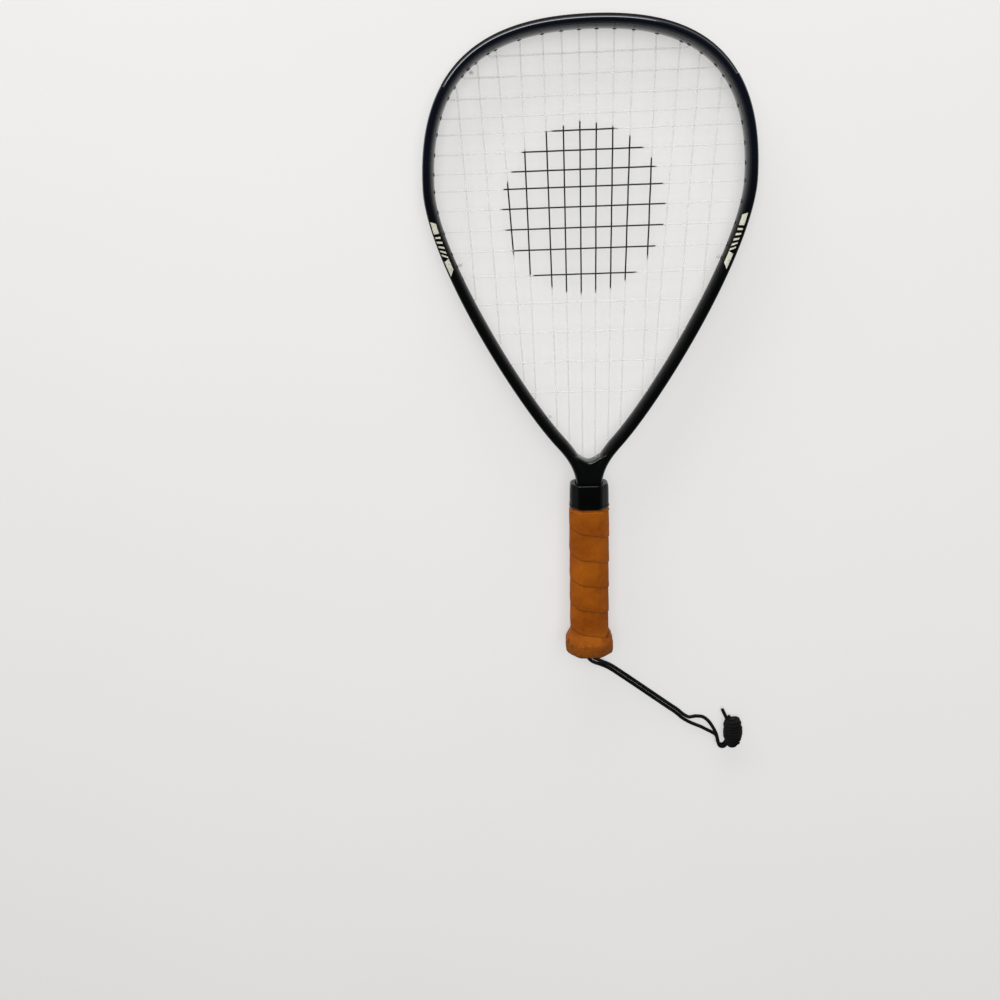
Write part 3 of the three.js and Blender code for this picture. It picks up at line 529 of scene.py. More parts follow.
class Hole:
    def __init__(self, place, v, mouth=MOUTH):
        self.place, self.v, self.mouth = place, v, mouth

    def mirrored(self):
        return Hole(-self.place, self.v, self.mouth)

    def point(self, u, x, z):
        """A point by the hole: u outward from the tube's centre line, x along it, z over the hole."""
        outward = station(self.place)[1]
        return on_tube(self.place, u, self.v + z) + Vector((-outward.y, outward.x, 0)) * x

    def rings(self, profile, sides):
        """Rings round the hole's line, from rows of a distance outward and a radius."""
        return [[self.point(u, x, z) for x, z in circle(radius, sides)] for u, radius in profile]


main_crown, main_foot = [], []
for k, (top, foot) in enumerate(zip(MAIN_CROWN_SHARES, MAIN_FOOT_SHARES)):
    reach = 0 if k else WEB_REACH
    top, foot = top * HEAD_HALF_WIDTH, foot * HEAD_HALF_WIDTH
    main_crown.append(Hole(find_place(0, 1, 0, top, HALF_FACE), -STAGGER))
    main_foot.append(Hole(find_place(1, 3, 0, foot, HALF_FACE + reach), -STAGGER, MOUTH + reach))
cross_ends = []
for s in CROSS_SHARES:
    y = CROTCH_Y + s * (CROWN_Y - CROTCH_Y)
    first = 0 if y > WIDEST_Y else 1
    cross_ends.append(Hole(find_place(first, first + 1, 1, y, HALF_FACE), STAGGER))


def between(a, b, share=0.5):
    return lerp(a.place, b.place, share)


main_tie = Hole(between(cross_ends[10], cross_ends[11]), -STAGGER)
top_tie = Hole(-between(cross_ends[0], cross_ends[1], TOP_TIE_SHARE), STAGGER)
foot_tie = Hole(-between(cross_ends[-1], main_foot[2], FOOT_TIE_SHARE), STAGGER)
paired = [*main_crown, *main_foot, *cross_ends, main_tie]
HOLES = [*paired, *[h.mirrored() for h in paired], top_tie, foot_tie]
GUARD_END = between(main_crown[-1], cross_ends[2])
STRIP_START = GUARD_END + STRIP_GAP / SHOULDER_LENGTH
STRIP_END = 2.625

# Frame: one lacquered tube, with a web that blends its legs together at the throat


def rounded(points, cuts, steps):
    """An open outline with its inner corners rounded off, by a cut for each of them."""
    points = [Vector(p) for p in points]
    out = [points[0]]
    for before, corner, after, cut in zip(points, points[1:], points[2:], cuts):
        a, b = corner_ends(before, corner, after, cut, 0.49)
        out += corner_curve(a, corner, b, [k / steps for k in range(steps + 1)])
    return out + [points[-1]]


OVAL_STEPS = 30


def oval(outer_face, power, last):
    """The tube's upper outline from its inner face to an angle, squarer outward by a power."""
    out = []
    for k in range(OVAL_STEPS + 1):
        angle = math.radians(lerp(180, last, k / OVAL_STEPS))
        c, s = math.cos(angle), math.sin(angle)
        if c < 0:
            out.append((HALF_FACE * c, HALF_DEPTH * s))
        else:
            out.append((outer_face * c ** (2 / power), HALF_DEPTH * s ** (2 / power)))
    return out


OPEN_HALF = oval(4.45, 4, 6.3) + [(CHANNEL_FLOOR, v) for v in (CHANNEL_HALF_WIDTH, 1, 0)]
GUARDED_HALF = oval(HALF_FACE, 2, 57.2) + [(CHANNEL_FLOOR, v) for v in (GUARD_HALF_DEPTH + 0.3, 3, 0)]


def both_halves(half):
    """A closed section from its upper half, whose two ends lie on v = 0."""
    return [*half, *[(u, -v) for u, v in reversed(half[1:-1])]]


def swept(section, places, shift=lambda place, u: u):
    """A section swept along the tube. shift(place, u) moves its points outward."""
    return [[on_tube(place, shift(place, u), v) for u, v in section] for place in places]


TUBE_TOP = [(u, v) for u, v in OPEN_HALF if v > 3]
LEGS_BROADER, NECK_BROADER = 0.07, 0.13


def broadened(place, u):
    """The legs are a little broader than the crown, and the neck more so on its outer side."""
    place = abs(place)
    legs = eased((place - 1.15) / 0.4) * (1 - eased((place - 2.9) / 0.2))
    neck = eased((place - 2.1) / 0.4) * (1 - eased((place - 2.95) / 0.15))
    return u * (1 + LEGS_BROADER * legs + (NECK_BROADER * neck if u > 0 else 0))


WEB_TOP_PLACE, WEB_BOTTOM_Y = 2.1, 136
WEB_LEVEL, WEB_RISE, WEB_RISE_Y, WEB_RISE_LENGTH, WEB_BLEND = 8.3, 0.8, 191, 26, 3.2
WEB_COLUMNS, WEB_ROWS, WEB_SIDE_STEPS = 72, 84, 160
CROTCH_ROUND, CROTCH_STEPS, CROTCH_POINT = 3.4, 12, 0.6


def smooth_max(a, b, k):
    h = max(k - abs(a - b), 0) / k
    return max(a, b) + h * h * k / 4


def web_shape():
    """The web's front and back, from the crotch down, over to each tube's centre line."""
    corner = station(WEB_TOP_PLACE)[0]
    widths, leans = [], []
    for k in range(WEB_SIDE_STEPS + 1):
        centre, outward = station(lerp(WEB_TOP_PLACE - 0.05, 3, k / WEB_SIDE_STEPS))
        widths.append((-centre.y, centre.x))
        leans.append((-centre.y, abs(outward.x)))

    def crotch_y(share):
        rise, full = [math.hypot(s, CROTCH_POINT) - CROTCH_POINT for s in (share, 1)]
        return lerp(CROTCH_Y - 0.2, corner.y, rise / full)

    def height(x, y):
        inward = (from_table(widths, -y) - abs(x)) * from_table(leans, -y)
        level = WEB_LEVEL + WEB_RISE * eased((WEB_RISE_Y - y) / WEB_RISE_LENGTH)
        return min(smooth_max(from_table(TUBE_TOP, -inward) - 0.06, level, WEB_BLEND), HALF_DEPTH + 0.02)

    points = []
    for r in range(WEB_ROWS + 1):
        turn = min(r / CROTCH_STEPS, 1) * math.pi / 2
        drop, lift = CROTCH_ROUND * (1 - math.cos(turn)), math.sin(turn)
        down = (max(r - CROTCH_STEPS, 0) / (WEB_ROWS - CROTCH_STEPS)) ** 1.25
        for c in range(WEB_COLUMNS + 1):
            share = 2 * c / WEB_COLUMNS - 1
            y = lerp(crotch_y(share) - drop, WEB_BOTTOM_Y, down)
            x = share * from_table(widths, -y)
            z = height(x, y) - CROTCH_ROUND * (1 - lift) if r else 0
            points.append(Vector((x, y, max(z, 0))))
    rows, columns = WEB_ROWS + 1, WEB_COLUMNS + 1
    front = range(rows * columns)
    behind = [i if i < columns else i + (rows - 1) * columns for i in front]
    points += [Vector((p.x, p.y, -p.z)) for p in points[columns:]]
    faces = grid_faces(rows, columns, close_columns=False)
    faces += [(behind[a], behind[d], behind[c], behind[b]) for a, b, c, d in faces]
    rim = [(i, i + columns) for i in front[:-columns] if i % columns in (0, columns - 1)]
    rim += [(i, i + 1) for i in front[-columns:-1]]
    faces += [tuple(dict.fromkeys((a, b, behind[b], behind[a]))) for a, b in rim]
    return points, faces


def frame_material():
    m = Nodes("lacquered_graphite")
    y = m.split(m.place)[1]
    upper = m.range(y, 0.105, 0.165)
    cloud = m.noise(14, 4, 0.6)
    navy = m.mix(cloud, (0.0016, 0.0024, 0.0055), (0.003, 0.0045, 0.010))
    black = m.mix(cloud, (0.0011, 0.0014, 0.0013), (0.0022, 0.0025, 0.0024))
    scratch = m.ramp(m.noise(700, 3, 0.65, 0.4, m.stretched((1, 0.12, 1))), (0.69, 0), (0.74, 1))
    chip = m.ramp(m.cells(120), (0.02, 1), (0.05, 0))
    chip = m.times(chip, m.ramp(m.noise(30, 2), (0.6, 0), (0.66, 1)))
    wear = m.math("MAXIMUM", m.times(scratch, 0.25), chip)
    smear = m.range(m.noise(45, 4, 0.6), 0.3, 0.7, -0.03, 0.04)
    rough = m.math("ADD", m.range(upper, 0, 1, 0.26, 0.09), smear)
    rough = m.math("ADD", rough, m.times(wear, 0.3))
    normal = m.bump(m.noise(1900, 2), 0.03, 0.0002, m.bump(m.noise(260, 3, 0.6), 0.05, 0.0006))
    lacquer = m.math("MAXIMUM", m.times(upper, 0.9), m.range(y, -0.062, -0.075, 0, 0.45))
    m.set(Base_Color=m.mix(wear, m.mix(upper, black, navy), (0.05, 0.05, 0.05)), Roughness=rough)
    m.set(Normal=normal, Specular_IOR_Level=0.15)
    return m.set(Coat_Weight=lacquer, Coat_Roughness=0.08, Coat_Normal=normal)


SECTION_CHANGE = 0.002


def make_frame():
    open_section, open_start = both_halves(OPEN_HALF), GUARD_END + SECTION_CHANGE
    rings = swept(open_section, places_between(-4, -open_start), broadened)
    rings += swept(both_halves(GUARDED_HALF), places_between(-GUARD_END, GUARD_END))
    rings += swept(open_section, places_between(open_start, 4), broadened)
    shape = Shape().add(*lofted(rings)).add(*web_shape())
    piece = add_mesh("frame_shell", laid(shape.points), shape.faces)
    finish_piece(piece, frame_material(), "frame_finish", "frame_tube")


make_frame()

# Plain stripes on the front of both legs

STRIPE_ROWS = [
    # for each stripe, its upper and its lower end: the distance along the leg, and the slant
    ((-4.7, -0.7), (4.7, -0.15)), ((7.1, -0.2), (8.6, -0.3)), ((11.0, -0.35), (12.6, -0.45)),
    ((14.9, -0.5), (16.5, -0.6)), ((18.6, -0.65), (20.1, -0.75)), ((22.1, -0.8), (23.5, -0.85)),
    ((26.0, 0.2), (36.0, 1.0)),
]
STRIPE_START = {1: find_place(1, 2, 1, 379.1, 0), -1: find_place(1, 2, 1, 380.9, 0)}
STRIPE_EDGES = {1: (-2.6, 1.0), -1: (-1.5, 2.6)}
STRIPE_GRID, STRIPE_LIFTS = (7, 11), (0.05, -0.2)


def stripe_points(side, start, end):
    """A thin patch that follows the tube's face, with a slanted end at each of two distances."""
    out = []
    (rows, columns), (u_in, u_out) = STRIPE_GRID, STRIPE_EDGES[side]
    for lift in STRIPE_LIFTS:
        for r in range(rows):
            for c in range(columns):
                u = lerp(u_in, u_out, c / (columns - 1))
                slant = u - (u_in + u_out) / 2
                along = lerp(start[0] + start[1] * slant, end[0] + end[1] * slant, r / (rows - 1))
                place = STRIPE_START[side] + along / LEG_LENGTH
                v = from_table(TUBE_TOP, u / broadened(place, 1)) + lift
                out.append(on_tube(side * place, u, v))
    return out


def stripe_faces():
    rows, columns = STRIPE_GRID
    top, under = grid_faces(rows, columns, close_columns=False), rows * columns
    low = [tuple(i + under for i in reversed(face)) for face in top]
    front = range(under)
    rim = [*front[:columns], *front[2 * columns - 1::columns], *front[-2:-columns - 1:-1],
           *front[-2 * columns:0:-columns]]
    return top + low + [(a, b, b + under, a + under) for a, b in zip(rim, rim[1:] + rim[:1])]


def stripe_material():
    m = Nodes("stripe_film")
    wear = m.ramp(m.noise(900, 3, 0.7), (0.56, 0), (0.68, 1))
    grime = m.noise(160, 3, 0.6)
    tone = m.mix(grime, (0.50, 0.48, 0.38), (0.74, 0.73, 0.60))
    tone = m.mix(m.times(wear, 0.7), tone, (0.05, 0.05, 0.05))
    m.set(Base_Color=tone, Roughness=m.range(grime, 0.3, 0.7, 0.32, 0.5))
    return m.set(Normal=m.bump(m.noise(1500, 2), 0.1, 0.0002), Coat_Weight=0.3, Coat_Roughness=0.2)


def make_stripes():
    look = stripe_material()
    for side, name in ((1, "stripes_right"), (-1, "stripes_left")):
        shape = Shape()
        for start, end in STRIPE_ROWS:
            shape.add(stripe_points(side, start, end), stripe_faces())
        finish_piece(add_mesh(name, laid(shape.points), shape.faces), look, "frame_finish")


make_stripes()

# Head guard, and the two grommet strips with their barrels

GUARD_TAPER, TAPER_REACH = 0.45, 0.3
GUARD_HALF = rounded(
    [(STRIP_FLOOR, 0), (STRIP_FLOOR, GUARD_HALF_DEPTH), (2.95, GUARD_HALF_DEPTH), (4.3, 5.5),
     (GUARD_TOP, 3), (GUARD_TOP, GROOVE), (STRIP_TOP, GROOVE), (STRIP_TOP, 0)],
    [0.2, 0.35, 1.0, 0.9, 0.4, 0.3], steps=4)
STRIP_HALF = rounded(
    [(STRIP_FLOOR, 0), (STRIP_FLOOR, STRIP_HALF_WIDTH), (STRIP_TOP, STRIP_HALF_WIDTH), (STRIP_TOP, 0)],
    [0.2, 0.25], steps=3)
BARREL_START, BARREL_SHORTER, BARREL_SIDES = 2.5, 0.45, 20
BARREL_OUTSIDE = [(1.5, 0), (0.5, 0.15), (0.12, 0.35), (0, 0.6)]


def guard_taper(place, u):
    """The guard stands less proud of the tube towards its ends."""
    reach = min(max((u - STRIP_TOP) / TAPER_REACH, 0), 1)
    return u - reach * GUARD_TAPER * (place / GUARD_END) ** 2


def barrel(hole):
    """A grommet's barrel with a bore, tapered to its mouth."""
    mouth, bore = BARREL_SHORTER - hole.mouth, BORE_RADIUS - 0.1
    profile = [(BARREL_START, BARREL_RADIUS), *[(mouth + u, BARREL_RADIUS - r) for u, r in BARREL_OUTSIDE]]
    profile += [(mouth + 0.1, BORE_RADIUS), (mouth + 0.9, bore), (BARREL_START, bore)]
    return lofted(hole.rings(profile, BARREL_SIDES), caps=False, close_rows=True)


def nylon_material():
    m = Nodes("moulded_nylon")
    cloud = m.noise(35, 4, 0.6)
    scuffed = m.ramp(m.noise(210, 4, 0.7), (0.57, 0), (0.7, 1))
    worn = m.times(scuffed, m.range(cloud, 0.45, 0.65))
    base = m.mix(cloud, (0.0021, 0.0021, 0.0024), (0.0042, 0.0042, 0.0048))
    base = m.mix(m.times(worn, 0.15), base, (0.06, 0.06, 0.06))
    rough = m.math("ADD", m.range(cloud, 0.3, 0.7, 0.59, 0.71), m.times(worn, 0.25))
    normal = m.bump(worn, 0.3, 0.0002, m.bump(m.noise(1200, 3, 0.6), 0.15, 0.0002))
    return m.set(Base_Color=base, Roughness=rough, Normal=normal, Specular_IOR_Level=0.04)


NYLON = nylon_material()


def make_guard(name, node, half, first, last, *shift):
    shape = Shape().add(*lofted(swept(both_halves(half), places_between(first, last), *shift)))
    for hole in HOLES:
        if first < hole.place < last:
            shape.add(*barrel(hole))
    finish_piece(add_mesh(name, laid(shape.points), shape.faces), NYLON, "black_nylon", node)


make_guard("guard_bumper", "head_guard", GUARD_HALF, -GUARD_END, GUARD_END, guard_taper)
make_guard("grommets_right", "grommet_strip_right", STRIP_HALF, STRIP_START, STRIP_END)
make_guard("grommets_left", "grommet_strip_left", STRIP_HALF, -STRIP_END, -STRIP_START)

# Strings: each crosses over and under the others, and loops along the channel between its holes

WEAVE = STRING_RADIUS * 1.03
STRING_SIDES, SPAN_STEP, LOOP_STEP = 10, 1.6, 2.5
SOFT_CUT, SOFT_ANGLE = 0.7, 0.35


def bend_point(hole):
    return on_tube(hole.place, -hole.mouth - STRING_BEND, hole.v)


def loop_point(hole):
    return on_tube(hole.place, LOOP_LEVEL, hole.v)


def way_along(start, end, v):
    gap = (on_tube(start, LOOP_LEVEL, v) - on_tube(end, LOOP_LEVEL, v)).length
    steps = max(2, math.ceil(gap / LOOP_STEP))
    return [on_tube(lerp(start, end, i / steps), LOOP_LEVEL, v) for i in range(1, steps)]


main_lines = []
for foot, top in zip(main_foot, main_crown):
    main_lines.append((bend_point(foot), bend_point(top)))
    main_lines.append((bend_point(foot.mirrored()), bend_point(top.mirrored())))
cross_lines = [(bend_point(end.mirrored()), bend_point(end)) for end in cross_ends]
main_lines.sort(key=lambda line: line[1].x)


def meeting(line, other):
    """Shares along two lines at their crossing, seen from above, or None where they don't cross."""
    (a, b), (c, d) = line, other
    r, s = b - a, d - c
    turn = r.x * s.y - r.y * s.x
    t = ((c.x - a.x) * s.y - (c.y - a.y) * s.x) / turn
    w = ((c.x - a.x) * r.y - (c.y - a.y) * r.x) / turn
    return t if 0.004 < t < 0.996 and 0.004 < w < 0.996 else None


def woven_span(line, own_index, others, sign, start_v, end_v):
    """Points of one string across the hoop, waving over and under the strings it meets."""
    marks = []
    for index, other in enumerate(others):
        t = meeting(line, other)
        if t is not None:
            marks.append((t, sign * (WEAVE if (own_index + index) % 2 else -WEAVE)))
    marks = [(0.0, start_v), *sorted(marks), (1.0, end_v)]
    (a, b), points = line, []
    count = round((b - a).length / SPAN_STEP)
    for t in [i / count for i in range(count + 1)]:
        (t0, v0), (t1, v1) = next(pair for pair in zip(marks, marks[1:]) if t <= pair[1][0] + 1e-9)
        points.append(Vector((*a.lerp(b, t).xy, lerp(v0, v1, eased((t - t0) / (t1 - t0))))))
    return points


def span_between(first, last):
    """The woven stretch from one hole to another, in the order asked for."""
    ends = bend_point(first), bend_point(last)
    for lines, others, sign in ((main_lines, cross_lines, 1), (cross_lines, main_lines, -1)):
        for index, line in enumerate(lines):
            if ends in (line, line[::-1]):
                return woven_span(ends, index, others, sign, first.v, last.v)
    raise ValueError("no such span")


def softened(points):
    """A path with its sharp corners rounded."""
    out = [points[0]]
    for before, corner, after in zip(points, points[1:], points[2:]):
        if (corner - before).angle(after - corner) < SOFT_ANGLE:
            out.append(corner)
        else:
            a, b = corner_ends(before, corner, after, SOFT_CUT, 0.45)
            out += corner_curve(a, corner, b, (0, 0.25, 0.5, 0.75, 1))
    return out + [points[-1]]


def tied_end(last, tie):
    mouth = on_tube(tie.place, -tie.mouth, tie.v)
    return [*way_along(last.place, tie.place, tie.v), loop_point(tie), mouth]


def string_route(row, first_tie, last_tie):
    points = tied_end(row[0], first_tie)[::-1]
    for i in range(0, len(row), 2):
        first, last = row[i], row[i + 1]
        points += [loop_point(first), *span_between(first, last), loop_point(last)]
        if i + 2 < len(row):
            points += way_along(last.place, row[i + 2].place, last.v)
    return softened(points + tied_end(row[-1], last_tie))


pairs = [holes[::-1] if k % 2 else holes for k, holes in enumerate(zip(main_foot, main_crown))]
left_row = [h.mirrored() for pair in pairs for h in pair[::-1]]
right_row = [h for pair in pairs[::-1] for h in pair]
main_route = string_route([*right_row, *left_row], main_tie, main_tie.mirrored())
cross_row = []
for i, end in enumerate(cross_ends):
    cross_row += [end, end.mirrored()] if i % 2 else [end.mirrored(), end]
cross_route = string_route(cross_row, top_tie, foot_tie)

DISC_CENTRE = LAY @ (Vector((-4, 390.5, 0)) * MM)
DISC_RADIUS, DISC_EDGE, DISC_RAGGED = 0.064, 0.001, 0.0016


def string_material():
    m = Nodes("racket_string")
    away = m.node("ShaderNodeVectorMath", {0: m.place, 1: tuple(DISC_CENTRE)}, operation="DISTANCE")
    ragged = m.range(m.noise(260, 2), 0.3, 0.7, -DISC_RAGGED, DISC_RAGGED)
    ragged = m.math("ADD", away.outputs["Value"], ragged)
    inked = m.range(ragged, DISC_RADIUS - DISC_EDGE, DISC_RADIUS + DISC_EDGE, 1, 0)
    along = m.uv()
    twist = m.math("SINE", m.math("ADD", m.times(along[0], 5200), m.times(along[1], 18.85)))
    worn = m.ramp(m.noise(420, 3, 0.6), (0.60, 0), (0.72, 1))
    cloud = m.noise(60, 3)
    clear = m.mix(cloud, (0.78, 0.78, 0.74), (0.88, 0.88, 0.85))
    ink = m.mix(m.times(worn, 0.35), (0.012, 0.012, 0.013), (0.10, 0.10, 0.10))
    m.set(Base_Color=m.mix(inked, clear, ink), Roughness=m.range(cloud, 0.3, 0.7, 0.28, 0.4))
    return m.set(Normal=m.bump(twist, 0.25, 0.00012), Alpha=m.mix(inked, (0.32, 0.32, 0.32), (1, 1, 1)))


STRING = string_material()


def make_string(name, node, route):
    points, faces = lofted(tube_rings(route, STRING_RADIUS, STRING_SIDES))
    lengths = [0.0]
    for a, b in zip(route, route[1:]):
        lengths.append(lengths[-1] + (b - a).length * MM)
    uvs = grid_uvs(len(route), STRING_SIDES, lambda r, c: (lengths[r], c / STRING_SIDES))
    uvs += [(0, 0)] * (2 * STRING_SIDES)
    finish_piece(add_mesh(name, laid(points), faces, uvs), STRING, "string", node)


make_string("strings_main", "main_string", main_route)
make_string("strings_cross", "cross_string", cross_route)

TIE_OUT, TIE_STEPS, TIE_TURNS, TIE_REACH, TIE_WAVE = 2.05, 60, 2.6, 1.05, 0.12
TIE_RADIUS, TIE_SIDES, TIE_CORE_SIDES = 0.58, 8, 10
TIE_CORE = [(1.6, 0.5), (1.0, 0.8), (-0.6, 0.8), (-1.1, 0.4)]


def make_tie(name, node, hole):
    """A half hitch pulled tight against a grommet: a short coil with its end sticking out."""
    middle, route = -hole.mouth - TIE_OUT, []
    for i in range(TIE_STEPS + 1):
        angle = i / TIE_STEPS * TIE_TURNS * math.tau
        reach = TIE_REACH + TIE_WAVE * math.sin(3 * angle)
        u = middle + lerp(1.0, -1.0, i / TIE_STEPS)
        route.append(hole.point(u, reach * math.cos(angle), reach * math.sin(angle)))
    end = (route[-1] - route[-2]).normalized() * 0.8 - station(hole.place)[1] * 0.3
    shape = Shape().add(*lofted(tube_rings([*route, route[-1] + end], TIE_RADIUS, TIE_SIDES)))
    shape.add(*lofted(hole.rings([(middle + u, r) for u, r in TIE_CORE], TIE_CORE_SIDES)))
    uvs = [(shape.points[i].x * MM, shape.points[i].y * MM) for face in shape.faces for i in face]
    finish_piece(add_mesh(name, laid(shape.points), shape.faces, uvs), STRING, "string", node)


make_tie("tie_main_right", "main_knot_right", main_tie)
make_tie("tie_main_left", "main_knot_left", main_tie.mirrored())
make_tie("tie_cross_top", "cross_knot_top", top_tie)
make_tie("tie_cross_foot", "cross_knot_foot", foot_tie)

# Grip: rings round the handle, eight-sided with rounded corners

GRIP_HALF_WIDTH, GRIP_HALF_DEPTH, GRIP_CUT = 17.1, 14.6, 8.2
LEATHER, LEATHER_STEP = 1.6, 0.45
LEATHER_START_Y, LEATHER_END_Y = 2.6, 152
NECK_Y, NECK_DRAW = 141.1, 1.9
WRAP_PITCH, FIRST_SEAM_Y, WRAP_STEP = 24.4, 17.9, 0.55
FLARE_LENGTH, FLARE_RISE = 24, 4.3
FLARE_SHARES = [
    (0, 0.35), (0.06, 0.66), (0.15, 0.9), (0.27, 1), (0.58, 1), (0.78, 0.5), (0.92, 0.1), (1, 0),
]
RING_POINTS = 128


def grip_ring(inset, y, corner_round=2.6):
    """A ring of evenly numbered points round the handle at a height, from +X towards +Z."""
    cut = GRIP_CUT - (2 - math.sqrt(2)) * inset
    return octagon(GRIP_HALF_WIDTH - inset, GRIP_HALF_DEPTH - inset, cut, y, corner_round)


def octagon(w, d, cut, y, corner_round):
    quarter = [(w, d - cut), (w - cut, d), (cut - w, d), (-w, d - cut)]
    corners = [Vector(c) for c in quarter] + [-Vector(c) for c in quarter]
    ends = []
    for before, corner, after in zip(corners[-1:] + corners, corners, corners[1:] + corners):
        ends.append(corner_ends(before, corner, after, corner_round, 0.45))
    half, out = RING_POINTS // 16, []
    for corner, (a, b), (following, _) in zip(corners, ends, ends[1:] + ends):
        out += corner_curve(a, corner, b, [k / half for k in range(half)])
        out += [b.lerp(following, k / half) for k in range(half)]
    return [Vector((p.x, y, p.y)) for p in out]


def flare(y):
    """The butt's flare, smoothed from its table."""
    share = y / FLARE_LENGTH
    near = [from_table(FLARE_SHARES, share + d) for d in (-0.05, -0.025, 0, 0.025, 0.05)]
    return FLARE_RISE * sum(near) / len(near)


def wrap_turns(column, y):
    return (y - FIRST_SEAM_Y) / WRAP_PITCH - column / RING_POINTS


def turned(column, reach, height):
    """A place on a cylinder, where the noise of a column and height is read."""
    angle = column / RING_POINTS * math.tau
    return Vector((math.cos(angle) * reach, math.sin(angle) * reach, height))


def leather_height(column, y):
    """How far the leather stands over its lowest: the wrap's overlap, its edge and its wrinkles."""
    turns = wrap_turns(column, y)
    into = (turns - math.floor(turns)) * WRAP_PITCH
    step = WRAP_STEP * (1 - into / WRAP_PITCH)
    edge = eased(into / 0.7)
    bevel = -0.22 * math.exp(-(((WRAP_PITCH - into) / 0.8) ** 2)) - 0.12 * math.exp(-(into ** 2))
    spot = turned(column, 2.2, y * 0.12)
    return step * edge + bevel + 0.16 * noise.noise(spot) + 0.05 * noise.noise(spot * 3.1)


LEATHER_NECK = [(0.5, NECK_Y + 0.5), (NECK_DRAW, NECK_Y + 2), (NECK_DRAW, LEATHER_END_Y),
                (NECK_DRAW + LEATHER, LEATHER_END_Y), (NECK_DRAW + LEATHER, NECK_Y), (LEATHER, NECK_Y - 2)]
LEATHER_INSIDE = (24, 21, 18, 14, 9.2, 5.4, LEATHER_START_Y)
FRAY_TOP_Y, FRAY_LENGTH, FRAY, FRAY_CURL = 7, 5, 0.45, 0.5


def leather_rings():
    rings, y = [], LEATHER_START_Y
    while y < NECK_Y:
        middle, frayed = Vector((0, y, 0)), FRAY * eased((FRAY_TOP_Y - y) / FRAY_LENGTH)
        ring = []
        for column, point in enumerate(grip_ring(-flare(y), y)):
            ragged = noise.noise(turned(column, 7, y * 0.7))
            point += (point - middle).normalized() * (leather_height(column, y) + frayed * ragged)
            ring.append(point if rings else point + Vector((0, FRAY_CURL * ragged, 0)))
        rings.append(ring)
        y += LEATHER_STEP
    rings += [grip_ring(inset, y) for inset, y in LEATHER_NECK]
    return rings + [grip_ring(LEATHER - flare(y), y) for y in LEATHER_INSIDE]


def leather_material():
    m = Nodes("wrapped_leather")
    into = m.math("FRACT", m.uv()[1])
    pores = m.cells(1500)
    creases = m.cells(620, "DISTANCE_TO_EDGE", m.stretched((1, 1.6, 1)))
    cloud = m.noise(38, 5, 0.62)
    butt = m.range(m.split(m.place)[1], ORIGIN.y + 0.004, ORIGIN.y + 0.026, 1, 0)
    tone = m.mix(m.range(cloud, 0.35, 0.65), (0.255, 0.058, 0.003), (0.385, 0.102, 0.005))
    for share, strength, colour in (
        (m.range(m.noise(320, 4, 0.7), 0.5, 0.75), 0.4, (0.15, 0.034, 0.003)),
        (m.ramp(into, (0.0, 1), (0.05, 0)), 0.3, (0.50, 0.24, 0.07)),
        # darker band just under each turn's proud edge: painted shade cast by that edge
        (m.ramp(into, (0.93, 0), (0.985, 1)), 0.4, (0.07, 0.020, 0.004)),
        # darker and blotchy towards the butt: partly painted shade of the flare turning away from the
        # light, partly scuffing
        (m.times(butt, m.range(m.noise(160, 4, 0.7), 0.35, 0.65, 0.35, 1)), 0.6, (0.045, 0.026, 0.010)),
        (m.times(m.ramp(m.noise(700, 2, 0.6), (0.64, 0), (0.69, 1)), butt), 0.3, (0.42, 0.30, 0.17)),
        (m.ramp(m.noise(90, 2, 0.5), (0.70, 0), (0.76, 1)), 0.6, (0.05, 0.018, 0.006)),
    ):
        tone = m.mix(m.times(share, strength), tone, colour)
    normal = m.bump(m.ramp(creases, (0.0, 0), (0.08, 1)), 0.22, 0.0003, m.bump(pores, 0.25, 0.0004))
    m.set(Base_Color=tone, Roughness=m.range(cloud, 0.3, 0.7, 0.55, 0.7), Specular_IOR_Level=0.08)
    return m.set(Normal=m.bump(m.noise(90, 4), 0.3, 0.0012, normal))


def make_leather():
    rings = leather_rings()
    points, faces = lofted(rings, caps=False, close_rows=True)

    def wrap_uv(row, column):
        return column / RING_POINTS, wrap_turns(column, rings[row][0].y)

    piece = add_mesh("grip_wrap", laid(points), faces, grid_uvs(len(rings), RING_POINTS, wrap_uv, True))
    finish_piece(piece, leather_material(), "tan_leather", "grip_leather")


make_leather()

# Collar: a rubber ring over the grip's top end

COLLAR_BOTTOM_Y, COLLAR_TOP_Y = 143.4, 165.4
SHAFT_HALF_WIDTH, SHAFT_HALF_DEPTH, SHAFT_CUT = 11.5, 9.8, 3.8
COLLAR_ROWS = [
    # share of the length, way in from the grip's ring to the shaft's, and the inset
    (0.0, 0, 0.9), (0.012, 0, 0.35), (0.03, 0, 0.02), (0.06, 0, -0.3), (0.09, 0, -0.42), (0.115, 0, -0.42),
    (0.13, 0, -0.36), (0.15, 0, -0.18), (0.17, 0, -0.06), (0.2, 0, -0.02), (0.24, 0, 0), (0.34, 0, 0),
    (0.45, 0, 0.02), (0.56, 0.005, 0.02), (0.68, 0.02, 0.02), (0.78, 0.035, 0.02), (0.86, 0.06, 0.02),
    (0.915, 0.09, 0.02), (0.95, 0.13, 0.02), (0.975, 0.19, 0.05), (0.99, 0.27, 0.1), (1.0, 0.38, 0.1),
    (1.0, 0.6, 0.1), (0.995, 0.97, 0.1),
]
COLLAR_INNER_Y, COLLAR_INNER_INSET = 154.8, 0.9
COLLAR_ROUND, SHAFT_ROUND, COLLAR_WIDER = 3.4, 2, 0.7


